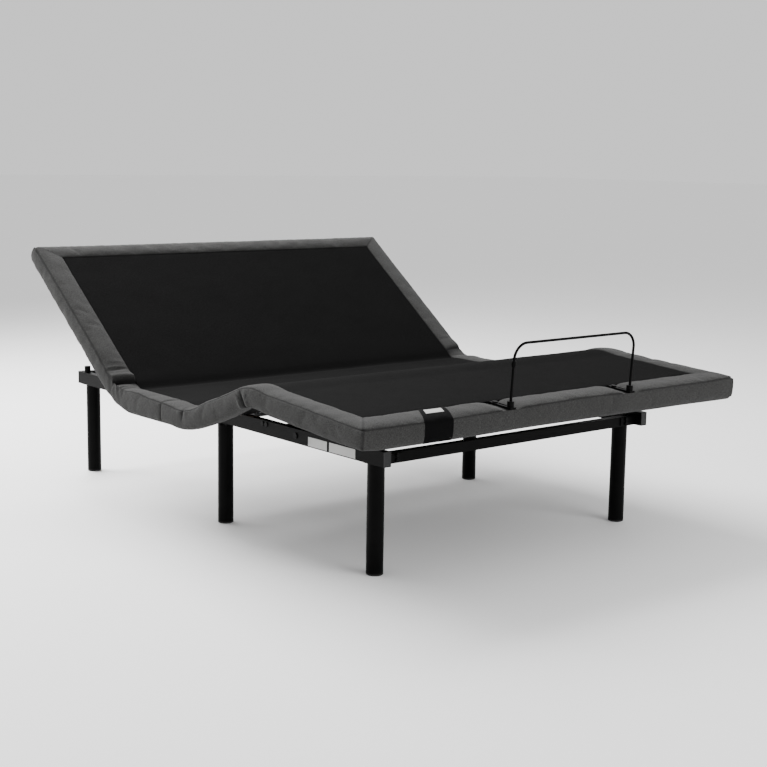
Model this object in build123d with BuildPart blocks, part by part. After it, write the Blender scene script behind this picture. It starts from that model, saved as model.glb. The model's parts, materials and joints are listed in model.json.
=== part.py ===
from build123d import *
from math import atan2, cos, degrees, hypot, radians, sin, tan
import os

# Adjustable bed base, millimetres. X runs across the bed, +Y points to the head end, +Z is up.
# The origin is on the floor, under the middle of the base as it stands: head, thigh and foot raised.
# Places along the bed are distances from the foot edge, so FRAME starts there.
MIDDLE = 974.13
FRAME = Plane(origin=(0, -MIDDLE, 0), x_dir=(1, 0, 0), z_dir=(0, 0, 1))
SIDE = Plane(origin=(0, -MIDDLE, 0), x_dir=(0, 1, 0), z_dir=(1, 0, 0))

# Platform: four upholstered sections hinged in a row
HALF_WIDTH = 762.0
HINGE_HEIGHT = 387.0
HEAD_HINGE = 1266.0
THIGH_HINGE = 852.0
THIGH_LENGTH = 344.4
LEG_LENGTH = 528.0
HEAD_LENGTH = 738.0
HEAD_ANGLE = 36.5
THIGH_ANGLE = 19.2
LEG_SLOPE = 4.0
HEAD_MAX = 60.0
THIGH_MAX = 35.0
LEG_RATIO = 1.208

# Section build-up, as heights above the hinge lines
BOARD_BOTTOM = -14.0
BOARD_TOP = 1.0
PAD_TOP = 25.0
SKIRT_BOTTOM = -36.0
SKIRT_THICKNESS = 40.0
END_SKIRT_THICKNESS = 30.0
BOARD_GAP = 8.0
PAD_GAP = 1.2
LEAF_RECESS = 50.0
LEAF_RECESS_TOP = 4.0
KNUCKLE_CLEAR = 7.0
STRIP_INSET = 20.0

# Fixed frame of steel tube
RAIL_OUTER = 549.0
RAIL_WIDTH = 25.0
RAIL_INNER = RAIL_OUTER - RAIL_WIDTH
RAIL_BOTTOM = 328.0
RAIL_TOP = 371.5
RAIL_START = 169.0
RAIL_END = 1952.0
TUBE_WALL = 2.0
CAP_FLANGE = 2.0
CAP_PLUG = 12.0
CROSS_TOP = 350.0
FOOT_CROSS_TOP = 359.0
FOOT_CROSS = 199.0
THIGH_CROSS = 732.5
SEAT_CROSS = 1357.5
HEAD_CROSS = 1920.0
END_PLATE = 3.0
BOLT_RADIUS = 4.0
BOLT_PLAY = 0.2
BOLT_SHANK_END = 4.0
CORNER_BOLT_X = 480.0
CORNER_HEX = 6.5
CORNER_HEX_HEIGHT = 5.0
CORNER_PLATE_X = 456.0
CORNER_FLANGE = 26.0
CROSS_PLATE_SIDE = 8.0
CROSS_BOLT_STEPS = (2.5, 22.5)
CROSS_BOLT_HEIGHT = 361.0
CROSS_BOLT_HEAD = (7.5, 2.5)
BRACKET_HEIGHTS = (332.0, 367.5)
CORNERS = {
    FOOT_CROSS: {"plate": (332.0, 356.0), "bolts": (337.0, 351.0)},
    HEAD_CROSS: {"plate": BRACKET_HEIGHTS, "bolts": (339.0, 360.0)},
}

# Posts on the rails that the lowered head section drops over
POST_X = RAIL_INNER + RAIL_WIDTH / 2
POST_PLACE = 1902.0
POST_RADIUS = 11.0
POST_TOP = 395.0
POST_HOLE = 15.0
POST_POCKET_TOP = 14.0

# Legs
LEG_RADIUS = 25.0
LEG_WALL = 2.0
GLIDE_HEIGHT = 6.0
LEG_TOP = 323.0
LEG_CAP = 4.0
GLIDE_STEP = (2.0, 3.0)
GLIDE_PLUG = 14.0
LEG_X = 511.6
MIDDLE_LEG = (533.0, 985.0)
LEG_SPOTS = {
    "foot_left": (-LEG_X, 249.5),
    "foot_right": (LEG_X, 249.5),
    "middle_left": (-MIDDLE_LEG[0], MIDDLE_LEG[1]),
    "middle_right": MIDDLE_LEG,
    "head_left": (-LEG_X, 1907.5),
    "head_right": (LEG_X, 1907.5),
}
# Plate reach from each leg's centre: outward, inward, towards the foot, towards the head
PLATE_REACH = {
    "foot": (25.0, 38.0, 30.5, 26.0),
    "middle": (16.0, 30.0, 30.0, 30.0),
    "head": (25.0, 38.0, 26.0, 37.5),
}
STUD_RADIUS = 5.0
STUD_PLAY = 0.1
STUD_DEPTH = 16.0
STUD_RISE = 14.0
MIDDLE_STUD_RISE = 7.0
MIDDLE_STUD_HOLE = 6.5
STUD_COLLAR = (4.0, 8.0, 4.0)

# Board hinges, each with three knuckles
KNUCKLE = 5.0
HINGE_PIN = 3.0
LEAF_THICKNESS = 2.5
LEAF_LENGTH = 45.0
LEAF_START = 6.5
PIN_OVERHANG = 1.0
KNUCKLE_HALF = 9.8
KNUCKLE_STEP = 20.0
HINGE_SPOTS = (-560.0, 0.0, 560.0)

# Section frames, levers and actuators
SECTION_TUBE = 20.0
SECTION_TUBE_X = 300.0
HEAD_TUBE_LENGTH = 600.0
THIGH_TUBE_LENGTH = 238.0
ACTUATOR_X = 90.0
PIN_RADIUS = 5.0
RUNNING = 0.05
HEAD_LEVER = 100.0
HEAD_LEVER_ANGLE = 6.5
HEAD_SLOT_TRAVEL = 15.7
HEAD_SLOT_RADIUS = 7.2
HEAD_ANCHOR = (790.0, 300.0)
THIGH_LEVER = 110.0
THIGH_LEVER_ANGLE = 0.8
THIGH_SLOT_TRAVEL = 7.6
THIGH_SLOT_RADIUS = 5.9
THIGH_ANCHOR = (1325.0, 290.0)
LEVER_PLATE = 6.0
LEVER_GAP = 12.0
LEVER_EDGE = 8.0
LEVER_ROOT = (9.0, 12.0)
SLOT_PLAY = 0.6
ROD_RADIUS = 10.0
ROD_SHOULDER = 10.0
ROD_EYE = (12.0, 14.0, 10.0)
ACTUATOR_TUBE_RADIUS = 18.0
HOUSING = (20.0, 125.0)
HOUSING_SIZE = 56.0
HOUSING_FILLET = 9.0
TUBE_END = 370.0
ROD_BACK = 230.0
EAR_RADIUS = 14.0
EAR_GAP = 11.0
EAR_PLATE = 4.0
EAR_FOOT = 4.0
LUG_HALF = 10.0
LUG_RADIUS = 12.0
GLAND = 25.0
BORE_PLAY = 3.0
PIN_HALF = 20.0
MOTOR_RADIUS = 24.0
MOTOR_OFFSET = 54.0
MOTOR_START = 4.0
MOTOR_END = 20.0
NECK_HALF = 16.0
NECK_START = 10.0
NECK_END = 60.0
NECK_BITE = 6.0

# Leg-section support arms
LIFT_PIVOT = (583.0, 351.0)
LIFT_ARM = 290.0
LIFT_ANGLE = 21.5
LIFT_TUBE_RADIUS = 15.0
LIFT_END_GAP = 2.0
LIFT_PLUG = 32.0
LIFT_ARM_X = 311.0
LIFT_ARM_PLATE = 8.0
LIFT_ARM_ENDS = (18.0, 8.5)
PIVOT_RADIUS = 6.0
PIVOT_PLAY = 0.2
PIVOT_REACH = 30.0
PIVOT_HEAD = (9.5, 3.0)
ROLLER_RADIUS = 11.0
ROLLER_WIDTH = 20.0
ROLLER_GAP = 0.6
AXLE_RADIUS = 4.0
AXLE_HEAD = (2.5, 1.8)
TRACK_THICKNESS = 2.0
TRACK_RANGE = (-270.0, -120.0)
TRACK_SIDES = (31.0, 9.0)

# Retainer bar at the foot edge
RETAINER_LEFT = -225.0
RETAINER_RIGHT = 275.0
RETAINER_FROM_HINGE = 514.0
RETAINER_TOP = 204.0
RETAINER_WIRE = 4.0
RETAINER_BEND = 46.0
RETAINER_BOLT = 452.0
RETAINER_BOLT_HEAD = (8.0, 3.0)
RETAINER_NUT = (7.5, 6.0)
RETAINER_BOLT_END = 8.0
BOSS_RADIUS = 10.0
BRACKET_SEAT = PAD_TOP - 6.0
BRACKET_CLEAR = 1.0
BOSS_TOP = BRACKET_SEAT + 22.0
BOSS_FLOOR = BRACKET_SEAT + 6.0
BRACKET_FRONT = 526.0
BRACKET_BACK = 440.0
BRACKET_WIDTH = 22.0
BRACKET_HEIGHT = 6.0
BRACKET_SLOT_HALF = 4.0
BRACKET_SLOT = (-500.0, -466.0)

# Plain label over the foot border, and blank plates on the left rail
LABEL_X = (-553.0, -451.0)
LABEL_LENGTH = 80.0
LABEL_THICKNESS = 1.0
PLATE_SPANS = ((297.0, 418.0), (429.0, 520.0))
PLATE_HEIGHTS = (331.0, 358.0)
PLATE_THICKNESS = 0.5

# Control box under the seat board
BOX_X = (-400.0, -240.0)
BOX_Y = (1010.0, 1160.0)
BOX_Z = (326.0, HINGE_HEIGHT + BOARD_BOTTOM)
INLET_X = (-345.0, -295.0)
INLET_Z = (338.0, 362.0)
INLET_DEPTH = 22.0
INLET_WALL = 4.0
BLADES = (-332.0, -320.0, -308.0)
BLADE_Z = (347.0, 353.0)
CASE_WALL = 3.0
CASE_FILLET = 8.0


def section_planes(hinge, height, tilt):
    """Planes on a section's hinge line: across the section, and along its side."""
    c = cos(radians(tilt))
    s = sin(radians(tilt))
    origin = (0, hinge - MIDDLE, height)
    across = Plane(origin=origin, x_dir=(1, 0, 0), z_dir=(0, -s, c))
    along = Plane(origin=origin, x_dir=(0, c, s), z_dir=(1, 0, 0))
    return across, along


CREST = THIGH_HINGE - THIGH_LENGTH * cos(radians(THIGH_ANGLE))
CREST_HEIGHT = HINGE_HEIGHT + THIGH_LENGTH * sin(radians(THIGH_ANGLE))
HEAD, HEAD_SIDE = section_planes(HEAD_HINGE, HINGE_HEIGHT, HEAD_ANGLE)
SEAT, SEAT_SIDE = section_planes(THIGH_HINGE, HINGE_HEIGHT, 0)
THIGH, THIGH_SIDE = section_planes(THIGH_HINGE, HINGE_HEIGHT, -THIGH_ANGLE)
LEG, LEG_SIDE = section_planes(CREST, CREST_HEIGHT, LEG_SLOPE)
SEAT_LENGTH = HEAD_HINGE - THIGH_HINGE


def save(piece, label):
    piece.part.label = label
    export_step(piece.part, "parts/" + label + ".step")


def block(plane, x, y, z, mode=Mode.ADD):
    """Add to or cut from the open part a block spanning x, y and z of the plane."""
    with BuildSketch(plane.offset(z[0])) as outline:
        with Locations(((x[0] + x[1]) / 2, (y[0] + y[1]) / 2)):
            Rectangle(x[1] - x[0], y[1] - y[0])
    extrude(outline.sketch, amount=z[1] - z[0], mode=mode)


def disc(plane, centre, radius, z, mode=Mode.ADD):
    """Add or cut a cylinder that stands on the plane from height z[0] to z[1]."""
    with BuildSketch(plane.offset(z[0])) as outline:
        with Locations(centre):
            Circle(radius)
    extrude(outline.sketch, amount=z[1] - z[0], mode=mode)


def bar(side_plane, points, x, mode=Mode.ADD):
    """Add or cut a bar across the bed, from x[0] to x[1], with a polygon for its section."""
    with BuildSketch(side_plane.offset(x[0])) as outline:
        with BuildLine():
            Polyline(*points, close=True)
        make_face()
    extrude(outline.sketch, amount=x[1] - x[0], mode=mode)


def web(side_plane, circles, x, mode=Mode.ADD):
    """Add a flat plate whose outline is the hull of circles (y, z, radius)."""
    with BuildSketch(side_plane.offset(x[0])) as outline:
        for y, z, radius in circles:
            with Locations((y, z)):
                Circle(radius)
        make_hull()
    extrude(outline.sketch, amount=x[1] - x[0], mode=mode)


def both_sides(low, high):
    """The range low to high on the right of the bed, and its mirror on the left."""
    return ((-high, -low), (low, high))


# ---------------------------------------------------------------- fixed frame

def side_rail(name, side):
    """Square tube with holes for the lift pivot, the cross-rail bolts and the middle leg's stud."""
    inner = RAIL_INNER if side > 0 else -RAIL_OUTER
    outer = inner + RAIL_WIDTH
    start = RAIL_START + CAP_FLANGE
    end = RAIL_END - CAP_FLANGE
    with BuildPart() as rail:
        block(FRAME, (inner, outer), (start, end), (RAIL_BOTTOM, RAIL_TOP))
        block(
            FRAME,
            (inner + TUBE_WALL, outer - TUBE_WALL),
            (start, end),
            (RAIL_BOTTOM + TUBE_WALL, RAIL_TOP - TUBE_WALL),
            Mode.SUBTRACT,
        )
        disc(SIDE, LIFT_PIVOT, PIVOT_RADIUS + PIVOT_PLAY, (inner, outer), Mode.SUBTRACT)
        for spot in cross_bolt_spots():
            disc(SIDE, spot, BOLT_RADIUS + BOLT_PLAY, (inner, outer), Mode.SUBTRACT)
        disc(FRAME, (side * MIDDLE_LEG[0], MIDDLE_LEG[1]), MIDDLE_STUD_HOLE,
             (RAIL_BOTTOM, RAIL_BOTTOM + TUBE_WALL), Mode.SUBTRACT)
    save(rail, name)


def cross_bolt_spots():
    """Bolt places in the side rails, a pair at each centre cross rail."""
    starts = (THIGH_CROSS, SEAT_CROSS)
    return [(start + step, CROSS_BOLT_HEIGHT) for start in starts for step in CROSS_BOLT_STEPS]


os.makedirs("parts", exist_ok=True)
side_rail("side_rail_left", -1)
side_rail("side_rail_right", 1)


def across_bolt(x, z, radius, y, mode=Mode.ADD):
    """Add or cut a round bar along the bed, from distance y[0] to y[1]."""
    with BuildSketch(Plane.XZ.offset(MIDDLE - y[1])) as outline:
        with Locations((x, z)):
            Circle(radius)
    extrude(outline.sketch, amount=y[1] - y[0], mode=mode)


def cross_rail(name, starts, top, holes):
    """Rectangular tubes between the side rails, with bolt holes along the bed."""
    reach = RAIL_INNER - END_PLATE
    with BuildPart() as rails:
        for start in starts:
            end = start + RAIL_WIDTH
            block(FRAME, (-reach, reach), (start, end), (RAIL_BOTTOM, top))
            block(FRAME, (-reach, reach), (start + TUBE_WALL, end - TUBE_WALL),
                  (RAIL_BOTTOM + TUBE_WALL, top - TUBE_WALL), Mode.SUBTRACT)
            for x, z in holes:
                across_bolt(x, z, BOLT_RADIUS + BOLT_PLAY, (start, end), Mode.SUBTRACT)
    save(rails, name)


def corner_bolts(face):
    return [(x, z) for x in (-CORNER_BOLT_X, CORNER_BOLT_X) for z in CORNERS[face]["bolts"]]


cross_rail("foot_cross_rail", [FOOT_CROSS], FOOT_CROSS_TOP, corner_bolts(FOOT_CROSS))
cross_rail("head_cross_rail", [HEAD_CROSS], RAIL_TOP, corner_bolts(HEAD_CROSS))
cross_rail("centre_cross_rails", [THIGH_CROSS, SEAT_CROSS], CROSS_TOP, [])


def frame_brackets():
    """Angle plates in the frame's corners, and plates on the ends of the centre cross rails."""
    flange = RAIL_INNER - END_PLATE
    with BuildPart() as brackets:
        for face, corner in CORNERS.items():
            for side in both_sides(CORNER_PLATE_X, RAIL_INNER):
                block(FRAME, side, (face - END_PLATE, face), corner["plate"])
            for side in both_sides(flange, RAIL_INNER):
                block(FRAME, side, (face - CORNER_FLANGE, face + RAIL_WIDTH), corner["plate"])
            for x, z in corner_bolts(face):
                across_bolt(x, z, BOLT_RADIUS + BOLT_PLAY, (face - END_PLATE, face), Mode.SUBTRACT)
        for side in both_sides(flange, RAIL_INNER):
            for start in (THIGH_CROSS, SEAT_CROSS):
                span = (start - CROSS_PLATE_SIDE, start + RAIL_WIDTH + CROSS_PLATE_SIDE)
                block(FRAME, side, span, BRACKET_HEIGHTS)
            for spot in cross_bolt_spots():
                disc(SIDE, spot, BOLT_RADIUS + BOLT_PLAY, side, Mode.SUBTRACT)
    save(brackets, "frame_brackets")


def frame_bolts():
    """Hexagon bolts in the corners, and round-headed bolts through the side rails."""
    with BuildPart() as bolts:
        for face in CORNERS:
            for x, z in corner_bolts(face):
                with BuildSketch(Plane.XZ.offset(MIDDLE - face + END_PLATE)) as head:
                    with Locations((x, z)):
                        RegularPolygon(CORNER_HEX, 6)
                extrude(head.sketch, amount=CORNER_HEX_HEIGHT)
                across_bolt(x, z, BOLT_RADIUS, (face - END_PLATE, face + RAIL_WIDTH + BOLT_SHANK_END))
        head_radius, head_height = CROSS_BOLT_HEAD
        for side in (-1, 1):
            shank = sorted((side * (RAIL_INNER - END_PLATE - BOLT_SHANK_END), side * RAIL_OUTER))
            head = sorted((side * RAIL_OUTER, side * (RAIL_OUTER + head_height)))
            for spot in cross_bolt_spots():
                disc(SIDE, spot, BOLT_RADIUS, shank)
                disc(SIDE, spot, head_radius, head)
    save(bolts, "frame_bolts")


def rail_end_caps():
    """Plastic plugs in the four rail ends."""
    with BuildPart() as caps:
        for low, high in both_sides(RAIL_INNER, RAIL_OUTER):
            for outside, inside in ((RAIL_START, 1), (RAIL_END, -1)):
                flange = sorted((outside, outside + inside * CAP_FLANGE))
                plug = sorted((outside, outside + inside * CAP_PLUG))
                block(FRAME, (low, high), flange, (RAIL_BOTTOM, RAIL_TOP))
                block(FRAME, (low + TUBE_WALL, high - TUBE_WALL), plug,
                      (RAIL_BOTTOM + TUBE_WALL, RAIL_TOP - TUBE_WALL))
    save(caps, "rail_end_caps")


def locating_posts():
    """Upright posts welded on the side rails, that the lowered head section drops over."""
    with BuildPart() as posts:
        for side in (-1, 1):
            disc(FRAME, (side * POST_X, POST_PLACE), POST_RADIUS, (RAIL_TOP, POST_TOP))
    save(posts, "head_locating_posts")


frame_brackets()
frame_bolts()
rail_end_caps()
locating_posts()


# ---------------------------------------------------------------- legs

def leg_plates():
    """Welded plates under the frame, tapped for the legs' studs."""
    with BuildPart() as plates:
        for spot, (x, y) in LEG_SPOTS.items():
            outward, inward, footward, headward = PLATE_REACH[spot.split("_")[0]]
            side = 1 if x > 0 else -1
            span = sorted((x + side * outward, x - side * inward))
            block(FRAME, span, (y - footward, y + headward), (LEG_TOP, RAIL_BOTTOM))
            disc(FRAME, (x, y), STUD_RADIUS + STUD_PLAY, (LEG_TOP, RAIL_BOTTOM), Mode.SUBTRACT)
    save(plates, "leg_mounting_plates")


def leg(spot):
    """Round tube leg with a closed top."""
    x, y = LEG_SPOTS[spot]
    with BuildPart() as tube:
        disc(FRAME, (x, y), LEG_RADIUS, (GLIDE_HEIGHT, LEG_TOP))
        disc(FRAME, (x, y), LEG_RADIUS - LEG_WALL, (GLIDE_HEIGHT, LEG_TOP - LEG_CAP), Mode.SUBTRACT)
        disc(FRAME, (x, y), STUD_RADIUS + STUD_PLAY, (LEG_TOP - LEG_CAP, LEG_TOP), Mode.SUBTRACT)
    save(tube, "leg_" + spot)


def leg_studs():
    """Threaded studs that hold the legs to their plates."""
    flange, low, high = STUD_COLLAR
    with BuildPart() as studs:
        for spot, (x, y) in LEG_SPOTS.items():
            rise = MIDDLE_STUD_RISE if spot.startswith("middle") else STUD_RISE
            disc(FRAME, (x, y), STUD_RADIUS, (LEG_TOP - STUD_DEPTH, RAIL_BOTTOM + rise))
            disc(FRAME, (x, y), STUD_RADIUS + flange, (LEG_TOP - low, LEG_TOP - high))
    save(studs, "leg_studs")


def leg_glides():
    """Plastic feet plugged into the leg tubes."""
    step, inset = GLIDE_STEP
    with BuildPart() as glides:
        for x, y in LEG_SPOTS.values():
            disc(FRAME, (x, y), LEG_RADIUS, (step, GLIDE_HEIGHT))
            disc(FRAME, (x, y), LEG_RADIUS - inset, (0.0, step))
            disc(FRAME, (x, y), LEG_RADIUS - LEG_WALL, (GLIDE_HEIGHT, GLIDE_HEIGHT + GLIDE_PLUG))
    save(glides, "leg_glides")


leg_plates()
for leg_name in LEG_SPOTS:
    leg(leg_name)
leg_studs()
leg_glides()


# ---------------------------------------------------------------- platform sections

# Half of the largest fold at each hinge line sets how far the pads and skirts stand back
HEAD_FOLD = tan(radians(HEAD_MAX / 2))
THIGH_FOLD = tan(radians(THIGH_MAX / 2))
CREST_FOLD = tan(radians(THIGH_MAX * LEG_RATIO / 2))


def pad_edge(fold):
    """Pad outline at a hinge line, from underneath to the top, as distances and heights."""
    lip = max(BOARD_GAP, LEAF_RECESS_TOP * fold + PAD_GAP)
    return [
        (LEAF_RECESS, BOARD_TOP),
        (LEAF_RECESS, LEAF_RECESS_TOP),
        (lip, LEAF_RECESS_TOP),
        (lip, KNUCKLE_CLEAR),
        (KNUCKLE_CLEAR * fold + PAD_GAP, KNUCKLE_CLEAR),
        (PAD_TOP * fold + PAD_GAP, PAD_TOP),
    ]


def mirrored(points, length):
    return [(length - y, z) for y, z in reversed(points)]


def board(name, side_plane, across_plane, start, end, holes=(), radius=0.0):
    """Plywood panel of one section, with round holes of one size."""
    reach = HALF_WIDTH - SKIRT_THICKNESS
    with BuildPart() as panel:
        bar(side_plane, [(start, BOARD_BOTTOM), (end, BOARD_BOTTOM), (end, BOARD_TOP), (start, BOARD_TOP)],
            (-reach, reach))
        for hole in holes:
            disc(across_plane, hole, radius, (BOARD_BOTTOM, BOARD_TOP), Mode.SUBTRACT)
    save(panel, name)


POST_FROM_HINGE = POST_PLACE - HEAD_HINGE
POST_HOLES = ((-POST_X, POST_FROM_HINGE), (POST_X, POST_FROM_HINGE))
RETAINER_HOLES = ((RETAINER_LEFT, -RETAINER_BOLT), (RETAINER_RIGHT, -RETAINER_BOLT))

board("head_board", HEAD_SIDE, HEAD, BOARD_GAP, HEAD_LENGTH - END_SKIRT_THICKNESS, POST_HOLES, POST_HOLE)
board("seat_board", SEAT_SIDE, SEAT, BOARD_GAP, SEAT_LENGTH - BOARD_GAP)
board("thigh_board", THIGH_SIDE, THIGH, -THIGH_LENGTH + BOARD_GAP, -BOARD_GAP)
board("leg_board", LEG_SIDE, LEG, -LEG_LENGTH + END_SKIRT_THICKNESS, -BOARD_GAP, RETAINER_HOLES,
      BOLT_RADIUS)


def free_end(length):
    return [(length, BOARD_TOP), (length, SKIRT_BOTTOM)]


def skirt_edge(fold):
    """Skirt outline at a hinge line, from its lower edge to its top."""
    return [(PAD_GAP - SKIRT_BOTTOM * fold, SKIRT_BOTTOM), (PAD_GAP, 0.0), (PAD_GAP, BOARD_TOP)]


def skirts(side_plane, outline, end=None):
    """Add the padded strips down both sides of a section, and across its free end."""
    reach = HALF_WIDTH - SKIRT_THICKNESS
    for x in both_sides(reach, HALF_WIDTH):
        bar(side_plane, outline, x)
    if end:
        low, high = sorted(end)
        corners = [(low, SKIRT_BOTTOM), (high, SKIRT_BOTTOM), (high, BOARD_TOP), (low, BOARD_TOP)]
        bar(side_plane, corners, (-reach, reach))


def head_pad():
    """Padded top and edges of the head section, pocketed over the locating posts."""
    outline = pad_edge(HEAD_FOLD) + [(HEAD_LENGTH, PAD_TOP), (HEAD_LENGTH, BOARD_TOP)]
    with BuildPart() as pad:
        bar(HEAD_SIDE, outline, (-HALF_WIDTH, HALF_WIDTH))
        for hole in POST_HOLES:
            disc(HEAD, hole, POST_HOLE, (BOARD_TOP, POST_POCKET_TOP), Mode.SUBTRACT)
        skirts(HEAD_SIDE, skirt_edge(0) + free_end(HEAD_LENGTH),
               (HEAD_LENGTH - END_SKIRT_THICKNESS, HEAD_LENGTH))
    save(pad, "head_pad")


def seat_pad():
    """Padded top and edges of the fixed section."""
    outline = pad_edge(THIGH_FOLD) + mirrored(pad_edge(HEAD_FOLD), SEAT_LENGTH)
    with BuildPart() as pad:
        bar(SEAT_SIDE, outline, (-HALF_WIDTH, HALF_WIDTH))
        skirts(SEAT_SIDE, skirt_edge(0) + mirrored(skirt_edge(0), SEAT_LENGTH))
    save(pad, "seat_pad")


def thigh_pad():
    """Padded top and edges between the thigh hinge and the crest."""
    crest = [(y - THIGH_LENGTH, z) for y, z in pad_edge(0)]
    hip = [(-y, z) for y, z in reversed(pad_edge(THIGH_FOLD))]
    crest_skirt = [(y - THIGH_LENGTH, z) for y, z in skirt_edge(CREST_FOLD)]
    hip_skirt = [(-y, z) for y, z in reversed(skirt_edge(0))]
    with BuildPart() as pad:
        bar(THIGH_SIDE, crest + hip, (-HALF_WIDTH, HALF_WIDTH))
        skirts(THIGH_SIDE, crest_skirt + hip_skirt)
    save(pad, "thigh_pad")


def leg_pad():
    """Padded top and edges of the leg section, pressed in under the retainer's brackets."""
    recess = BRACKET_WIDTH / 2 + BRACKET_CLEAR
    crest = [(-y, z) for y, z in pad_edge(0)]
    crest_skirt = [(-y, z) for y, z in skirt_edge(CREST_FOLD)]
    with BuildPart() as pad:
        bar(LEG_SIDE, crest + [(-LEG_LENGTH, PAD_TOP), (-LEG_LENGTH, BOARD_TOP)],
            (-HALF_WIDTH, HALF_WIDTH))
        for hole in RETAINER_HOLES:
            disc(LEG, hole, BOLT_RADIUS, (BOARD_TOP, PAD_TOP), Mode.SUBTRACT)
            block(LEG, (hole[0] - recess, hole[0] + recess), (-LEG_LENGTH, BRACKET_CLEAR - BRACKET_BACK),
                  (BRACKET_SEAT, PAD_TOP), Mode.SUBTRACT)
        skirts(LEG_SIDE, crest_skirt + free_end(-LEG_LENGTH),
               (-LEG_LENGTH, -LEG_LENGTH + END_SKIRT_THICKNESS))
    save(pad, "leg_pad")


head_pad()
seat_pad()
thigh_pad()
leg_pad()


def isolation_strips():
    """Rubber strips between the seat board and the side rails."""
    with BuildPart() as strips:
        for low, high in both_sides(RAIL_INNER, RAIL_OUTER):
            block(FRAME, (low, high), (THIGH_HINGE + STRIP_INSET, HEAD_HINGE - STRIP_INSET),
                  (RAIL_TOP, HINGE_HEIGHT + BOARD_BOTTOM))
    save(strips, "seat_isolation_strips")


isolation_strips()


# ---------------------------------------------------------------- board hinges

def leaf(side_plane, across_plane, x, direction, knuckles):
    """One leaf of a board hinge, on top of its board, with its knuckles on the hinge line."""
    top = BOARD_TOP + LEAF_THICKNESS
    half = KNUCKLE_STEP + KNUCKLE_HALF
    reach = sorted((direction * LEAF_START, direction * LEAF_LENGTH))
    block(across_plane, (x - half, x + half), reach, (BOARD_TOP, top))
    for knuckle in knuckles:
        middle = x + knuckle * KNUCKLE_STEP
        span = (middle - KNUCKLE_HALF, middle + KNUCKLE_HALF)
        tab = sorted((0.0, direction * LEAF_START))
        block(across_plane, span, tab, (BOARD_TOP, top))
        disc(side_plane, (0, 0), KNUCKLE, span)
    bore = (x - half - PIN_OVERHANG, x + half + PIN_OVERHANG)
    disc(side_plane, (0, 0), HINGE_PIN + RUNNING, bore, Mode.SUBTRACT)


def leaves(name, sets):
    """All the hinge leaves that one section carries."""
    with BuildPart() as group:
        for side_plane, across_plane, direction, knuckles in sets:
            for x in HINGE_SPOTS:
                leaf(side_plane, across_plane, x, direction, knuckles)
    save(group, name)


def hinge_pins(name, side_planes):
    """Pins of the hinge lines that one section carries."""
    half = KNUCKLE_STEP + KNUCKLE_HALF + PIN_OVERHANG
    with BuildPart() as pins:
        for side_plane in side_planes:
            for x in HINGE_SPOTS:
                disc(side_plane, (0, 0), HINGE_PIN, (x - half, x + half))
    save(pins, name)


SEAT_END, SEAT_END_SIDE = section_planes(HEAD_HINGE, HINGE_HEIGHT, 0)
THIGH_END, THIGH_END_SIDE = section_planes(CREST, CREST_HEIGHT, -THIGH_ANGLE)
leaves("seat_hinge_leaves", [(SEAT_SIDE, SEAT, 1, (-1, 1)), (SEAT_END_SIDE, SEAT_END, -1, (-1, 1))])
leaves("head_hinge_leaves", [(HEAD_SIDE, HEAD, 1, (0,))])
leaves("thigh_hinge_leaves", [(THIGH_SIDE, THIGH, -1, (0,)), (THIGH_END_SIDE, THIGH_END, 1, (-1, 1))])
leaves("leg_hinge_leaves", [(LEG_SIDE, LEG, -1, (0,))])
hinge_pins("seat_hinge_pins", [SEAT_SIDE, SEAT_END_SIDE])
hinge_pins("crest_hinge_pins", [THIGH_END_SIDE])


# ---------------------------------------------------------------- section frames and levers

TUBE_BOTTOM = BOARD_BOTTOM - SECTION_TUBE
CROSS_TUBE_START = 22.0


def section_frame(name, plane, direction, length):
    """Square steel tubes under a section's board: one across at the hinge, two lengthwise."""
    near = direction * CROSS_TUBE_START
    joint = direction * (CROSS_TUBE_START + SECTION_TUBE)
    low = SECTION_TUBE_X - SECTION_TUBE / 2
    high = SECTION_TUBE_X + SECTION_TUBE / 2
    outer_z = (TUBE_BOTTOM, BOARD_BOTTOM)
    bore_z = (TUBE_BOTTOM + TUBE_WALL, BOARD_BOTTOM - TUBE_WALL)
    across = sorted((near, joint))
    lengthwise = sorted((joint, direction * length))
    with BuildPart() as tubes:
        block(plane, (-high, high), across, outer_z)
        block(plane, (-high, high), (across[0] + TUBE_WALL, across[1] - TUBE_WALL), bore_z, Mode.SUBTRACT)
        for x in both_sides(low, high):
            block(plane, x, lengthwise, outer_z)
            block(plane, (x[0] + TUBE_WALL, x[1] - TUBE_WALL), lengthwise, bore_z, Mode.SUBTRACT)
    save(tubes, name)


section_frame("head_frame", HEAD, 1, HEAD_TUBE_LENGTH)
section_frame("thigh_frame", THIGH, -1, THIGH_TUBE_LENGTH)


def levers(name, side_plane, x, direction, radius, angle, travel, slot):
    """Pair of slotted plates below a section's frame, which the actuator's pin pushes."""
    dy = direction * sin(radians(angle))
    dz = -cos(radians(angle))
    first = radius - SLOT_PLAY
    root_radius, root_width = LEVER_ROOT
    ends = [(dy * r, dz * r, slot + LEVER_EDGE) for r in (first, first + travel)]
    roots = [(direction * (CROSS_TUBE_START + y), TUBE_BOTTOM, root_radius) for y in (0.0, root_width)]
    middle = first + travel / 2
    above_tube = [(-radius, TUBE_BOTTOM), (radius, TUBE_BOTTOM), (radius, 0.0), (-radius, 0.0)]
    with BuildPart() as plates:
        for low, high in both_sides(LEVER_GAP, LEVER_GAP + LEVER_PLATE):
            web(side_plane, roots + ends, (x + low, x + high))
            bar(side_plane, above_tube, (x + low, x + high), Mode.SUBTRACT)
            with BuildSketch(side_plane.offset(x + low)) as hole:
                with Locations(Location((dy * middle, dz * middle, 0), (0, 0, degrees(atan2(dz, dy))))):
                    SlotCenterToCenter(travel, slot * 2)
            extrude(hole.sketch, amount=high - low, mode=Mode.SUBTRACT)
    save(plates, name)


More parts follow.
